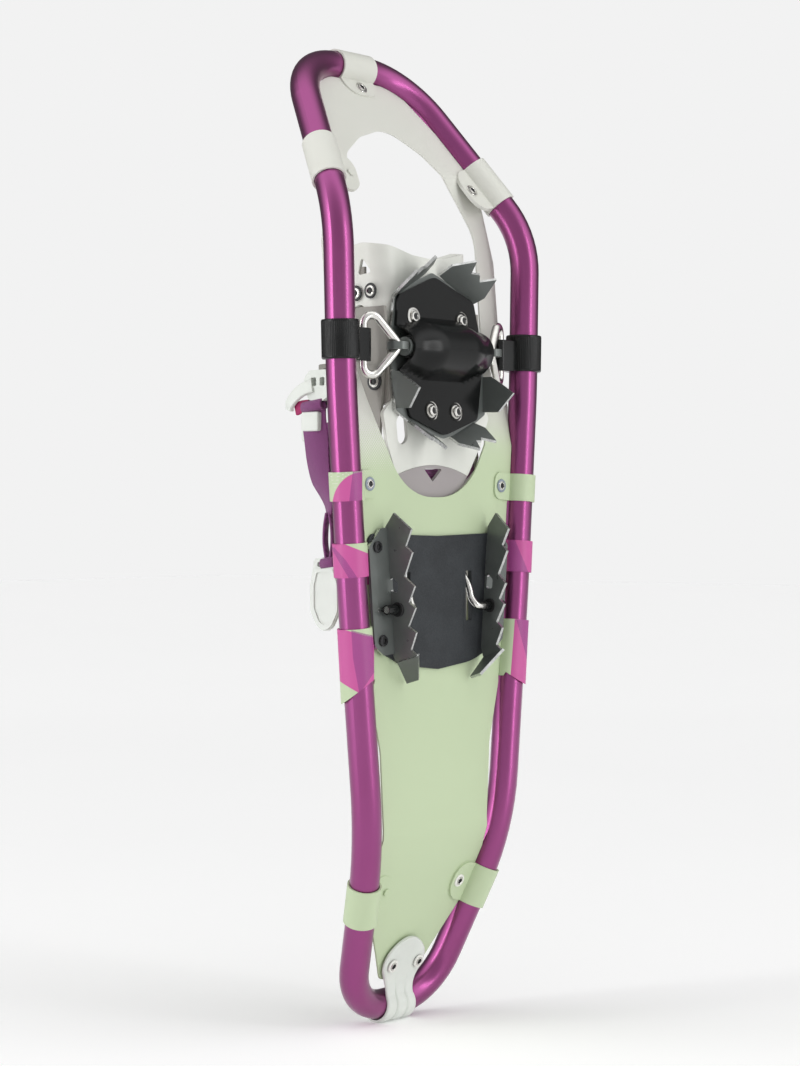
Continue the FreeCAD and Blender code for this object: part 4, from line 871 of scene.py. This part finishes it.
soften(piece("look_keeper", wall_slab(rounded(keeper_outline), [], -53.4, 6.0), "keeper", "clip_plastic",
             None, ["strap_keeper"], 50.0), 1.0)
tail_outline = [(57.0, 378.0, 1.5), (66.0, 377.0, 1.5), (66.4, 389.5, 1.5), (57.0, 390.0, 1.5)]
soften(piece("look_strap_end", wall_slab(rounded(tail_outline), [], -54.6, 2.2), "keeper", "clip_plastic",
             None, (), 50.0), 0.5)

clip_shape = [(34.0, 302.0, 2.5), (50.5, 302.0, 2.5), (54.0, 286.0, 8), (54.0, 268.0, 9), (47.0, 255.5, 9),
              (36.5, 255.5, 9), (29.5, 268.0, 9), (30.0, 286.0, 8)]
strap_window = rounded([(36.6, 296.4, 1.2), (48.0, 296.4, 1.2), (48.0, 299.6, 1.2), (36.6, 299.6, 1.2)])
soften(piece("look_strap_clip", wall_slab(rounded(clip_shape), [strap_window], -56.6, 1.9, 2.8), "hang_clip",
             "clip_plastic", None, ["strap_clip"], 50.0), 0.5)
rim_hole = rounded([(36.2, 293.0, 2), (47.9, 293.0, 2), (50.4, 284.0, 6), (50.4, 270.0, 7), (45.2, 259.4, 7),
                    (38.4, 259.4, 7), (33.2, 270.0, 7), (33.6, 284.0, 6)])
rim_shape = [(34.4, 295.2, 2), (49.9, 295.2, 2), (53.5, 285.6, 8), (53.5, 268.2, 9), (46.7, 256.1, 9),
             (36.8, 256.1, 9), (30.0, 268.2, 9), (30.5, 285.6, 8)]
soften(piece("look_clip_rim", wall_slab(rounded(rim_shape), [rim_hole], -58.1, 1.4, 2.8), "hang_clip",
             "clip_plastic", None, (), 50.0), 0.5)

# ------------------------------------------------------------------ heel lifter wire

wire = bmesh.new()
right_half = [(58.6, -8.0, 270.0), (44.0, -8.0, 270.0), (35.0, -8.0, 270.0), (32.0, -7.0, 271.2),
              (31.0, -4.2, 275.0),
              (31.0, -2.6, 280.0), (31.0, -0.6, 285.0), (31.0, 2.6, 290.0), (31.0, 4.6, 295.0),
              (31.0, 4.8, 304.0),
              (30.2, 4.8, 314.0), (26.0, 4.8, 320.2), (18.0, 4.8, 321.0)]
wire_line = curve_through(right_half + [(-x, y, z) for x, y, z in reversed(right_half)], 6)
WIRE_RADIUS, WIRE_SIDES = 2.25, 20
wire_rings = []
for i, point in enumerate(wire_line):
    tangent = (wire_line[min(i + 1, len(wire_line) - 1)] - wire_line[max(i - 1, 0)]).normalized()
    first_side = tangent.cross(Vector((0, 1, 0.01))).normalized()
    second_side = tangent.cross(first_side)
    ring = []
    for k in range(WIRE_SIDES):
        angle = 2 * math.pi * k / WIRE_SIDES
        spoke = first_side * math.cos(angle) + second_side * math.sin(angle)
        ring.append(wire.verts.new(at(*(point + spoke * WIRE_RADIUS))))
    wire_rings.append(ring)
for first, second in zip(wire_rings, wire_rings[1:]):
    for k in range(WIRE_SIDES):
        j = (k + 1) % WIRE_SIDES
        wire.faces.new((first[k], first[j], second[j], second[k]))
wire.faces.new(wire_rings[0])
wire.faces.new(wire_rings[-1])
piece("look_heel_lifter", wire, "lifter", "bright_steel", None, ["heel_lifter"], 50.0)
liners = bmesh.new()
for sign in (-1, 1):
    for low, high in (((34.0, -1.7, 253.0), (36.1, 1.3, 293.0)), ((25.9, -1.7, 253.0), (28.0, 1.3, 293.0)),
                      ((28.0, -1.7, 253.0), (34.0, 1.3, 260.5))):
        corners = bmesh.ops.create_cube(liners, size=1.0)["verts"]
        for vert in corners:
            share = vert.co + Vector((0.5, 0.5, 0.5))
            vert.co = at(*[(a + (b - a) * t) * (sign if axis == 0 else 1)
                           for axis, (a, b, t) in enumerate(zip(low, high, share))])
piece("look_slot_liner", liners, "frame", "panel_plastic")

# ------------------------------------------------------------------ tail clip

TAIL_SLOPE = 41.0 / (122.0 - 9.525)
TUBE_FOOT = Vector((0, 41.0, 9.525))
UP_TAIL = Vector((0, -TAIL_SLOPE, 1)).normalized()
OUT_TAIL = Vector((0, -1, -TAIL_SLOPE)).normalized()
CLIP_INNER = 9.9
clip_rows = []
for v, half in ((48.6, 1.0), (48.2, 4.0), (47.2, 7.0), (45.8, 9.6), (43.6, 12.6), (41.0, 15.4),
                (38.4, 17.6), (35.2, 19.2), (31.5, 19.9), (27.8, 19.7), (24.6, 18.6), (21.6, 16.8),
                (18.4, 15.0), (15.2, 13.7), (12.4, 13.1),
                (10.2, 13.0)):
    lift = 1.4 + 9.0 * max(0.0, (22.0 - v) / 22.0) ** 1.6
    clip_rows.append((TUBE_FOOT + UP_TAIL * v + OUT_TAIL * lift, OUT_TAIL, half, max(0.0, (21.0 - v) / 10.0)))
for k in range(26):
    angle = math.radians(-52 + 8.5 * k)
    outward = OUT_TAIL * math.cos(angle) - UP_TAIL * math.sin(angle)
    half = 13.0 + 2.2 * math.sin(min(1.0, k / 14) * math.pi / 2)
    clip_rows.append((TUBE_FOOT + outward * CLIP_INNER, outward, half, 1.0))
clip_mesh = bmesh.new()
across_count = 40
inner_rows, outer_rows = [], []
for point, outward, half, ribs in clip_rows:
    inner, outer = [], []
    for i in range(across_count + 1):
        share = 2 * i / across_count - 1
        x = share * half
        groove = 1.3 * min(1.0, ribs) * (math.exp(-((abs(share) - 0.36) / 0.055) ** 2))
        edge = 0.9 * max(0.0, abs(share) - 0.90) / 0.10
        inner.append(clip_mesh.verts.new(at(*(point + Vector((x, 0, 0))))))
        outer.append(clip_mesh.verts.new(at(*(point + Vector((x, 0, 0)) + outward * (2.05 - groove - edge)))))
    inner_rows.append(inner)
    outer_rows.append(outer)
for rows in (inner_rows, outer_rows):
    for first, second in zip(rows, rows[1:]):
        for i in range(across_count):
            clip_mesh.faces.new((first[i], first[i + 1], second[i + 1], second[i]))
for a, b in zip(range(len(clip_rows)), range(1, len(clip_rows))):
    for i in (0, across_count):
        clip_mesh.faces.new((inner_rows[a][i], inner_rows[b][i], outer_rows[b][i], outer_rows[a][i]))
for row in (0, -1):
    for i in range(across_count):
        inner, outer = inner_rows[row], outer_rows[row]
        clip_mesh.faces.new((inner[i], inner[i + 1], outer[i + 1], outer[i]))
piece("look_tail_clip", clip_mesh, "frame", "clip_plastic", None, ["tail_clip"], 60.0)

# ------------------------------------------------------------------ stage, light, camera

view_azimuth, view_elevation, view_roll = math.radians(-49.5), math.radians(0.3395), math.radians(-0.1118)
TARGET = Vector((-0.03623, -0.041, 0.32018))
DISTANCE = 1.5454
SENSOR_MM, FOCAL_PIXELS, FRAME_PIXELS = 36.0, 2433.97, 1066
back = Vector((math.sin(view_azimuth) * math.cos(view_elevation),
               -math.cos(view_azimuth) * math.cos(view_elevation), math.sin(view_elevation)))


def facing(direction, roll=0.0):
    """Rotation of a camera or lamp whose back points along direction."""
    side = Vector((0, 0, 1)).cross(direction).normalized()
    up = direction.cross(side)
    turn = Matrix((side, up, direction)).transposed()
    return (turn @ Matrix.Rotation(roll, 3, "Z")).to_euler()


camera_data = bpy.data.cameras.new("camera")
camera_data.sensor_fit = "VERTICAL"
camera_data.sensor_height = SENSOR_MM
camera_data.lens = FOCAL_PIXELS / FRAME_PIXELS * SENSOR_MM
camera = bpy.data.objects.new("camera", camera_data)
camera.location = TARGET + back * DISTANCE
camera.rotation_euler = facing(back, view_roll)
scene.collection.objects.link(camera)
scene.camera = camera

floor_mesh = bpy.data.meshes.new("floor")
floor_mesh.from_pydata([(-9, -9, 0), (9, -9, 0), (9, 9, 0), (-9, 9, 0)], [], [(0, 1, 2, 3)])
floor = bpy.data.objects.new("floor", floor_mesh)
scene.collection.objects.link(floor)
floor_shade = Shade("floor", Roughness=0.85, Emission_Color=(1.0, 1.0, 1.0, 1.0))
floor_tone = floor_shade.ramp(floor_shade.noise(2.0), 0.3, 0.7)
floor_shade.drive("Base Color", floor_shade.mix(floor_tone, (0.955, 0.955, 0.955), (0.965, 0.965, 0.965)))
from_middle = floor_shade.node("VectorMath", {"operation": "LENGTH"}, i0=floor_shade.coords).outputs["Value"]
floor_shade.drive("Emission Strength", floor_shade.ramp(from_middle, 0.4, 3.0, 0.105, 0.158))
floor_mesh.materials.append(floor_shade.material)

BACKDROP = 0.888
world = bpy.data.worlds.new("studio")
world.use_nodes = True
sky = world.node_tree
sky_coords = sky.nodes.new("ShaderNodeTexCoord")
along_view = sky.nodes.new("ShaderNodeVectorMath")
along_view.operation = "DOT_PRODUCT"
along_view.inputs[1].default_value = back
sky.links.new(sky_coords.outputs["Generated"], along_view.inputs[0])
share = sky.nodes.new("ShaderNodeMapRange")
share.inputs["From Min"].default_value = -1.0
sky.links.new(along_view.outputs["Value"], share.inputs["Value"])
softboxes = sky.nodes.new("ShaderNodeValToRGB")
LEVELS = [(0.0, 0.14), (0.16, 0.10), (0.32, 0.26), (0.46, 1.20), (0.60, 1.70), (0.74, 0.95), (0.88, 0.58),
          (1.0, 0.62)]
ramp = softboxes.color_ramp
while len(ramp.elements) < len(LEVELS):
    ramp.elements.new(0.5)
for element, (position, level) in zip(ramp.elements, LEVELS):
    element.position = position
    element.color = (level, level, level, 1.0)
sky.links.new(share.outputs[0], softboxes.inputs[0])
seen = sky.nodes.new("ShaderNodeLightPath")
choice = sky.nodes.new("ShaderNodeMix")
choice.data_type = "RGBA"
sky.links.new(seen.outputs["Is Camera Ray"], choice.inputs[0])
sky.links.new(softboxes.outputs[0], choice.inputs[6])
choice.inputs[7].default_value = (BACKDROP, BACKDROP, BACKDROP, 1.0)
sky.links.new(choice.outputs[2], sky.nodes["Background"].inputs[0])
scene.world = world


def lamp(name, azimuth, elevation, distance, size, power, target=(0, -0.04, 0.32)):
    data = bpy.data.lights.new(name, "AREA")
    data.shape = "RECTANGLE"
    data.size, data.size_y = size
    data.energy = power
    made = bpy.data.objects.new(name, data)
    a, e = math.radians(azimuth), math.radians(elevation)
    away = Vector((math.sin(a) * math.cos(e), -math.cos(a) * math.cos(e), math.sin(e)))
    made.location = Vector(target) + away * distance
    made.rotation_euler = facing(away)
    scene.collection.objects.link(made)


lamp("key", -112, 12, 1.8, (0.24, 1.5), 8.0)
lamp("rim", 9, 12, 1.8, (0.24, 1.5), 6.5)

scene.view_settings.view_transform = "Standard"
scene.view_settings.look = "None"
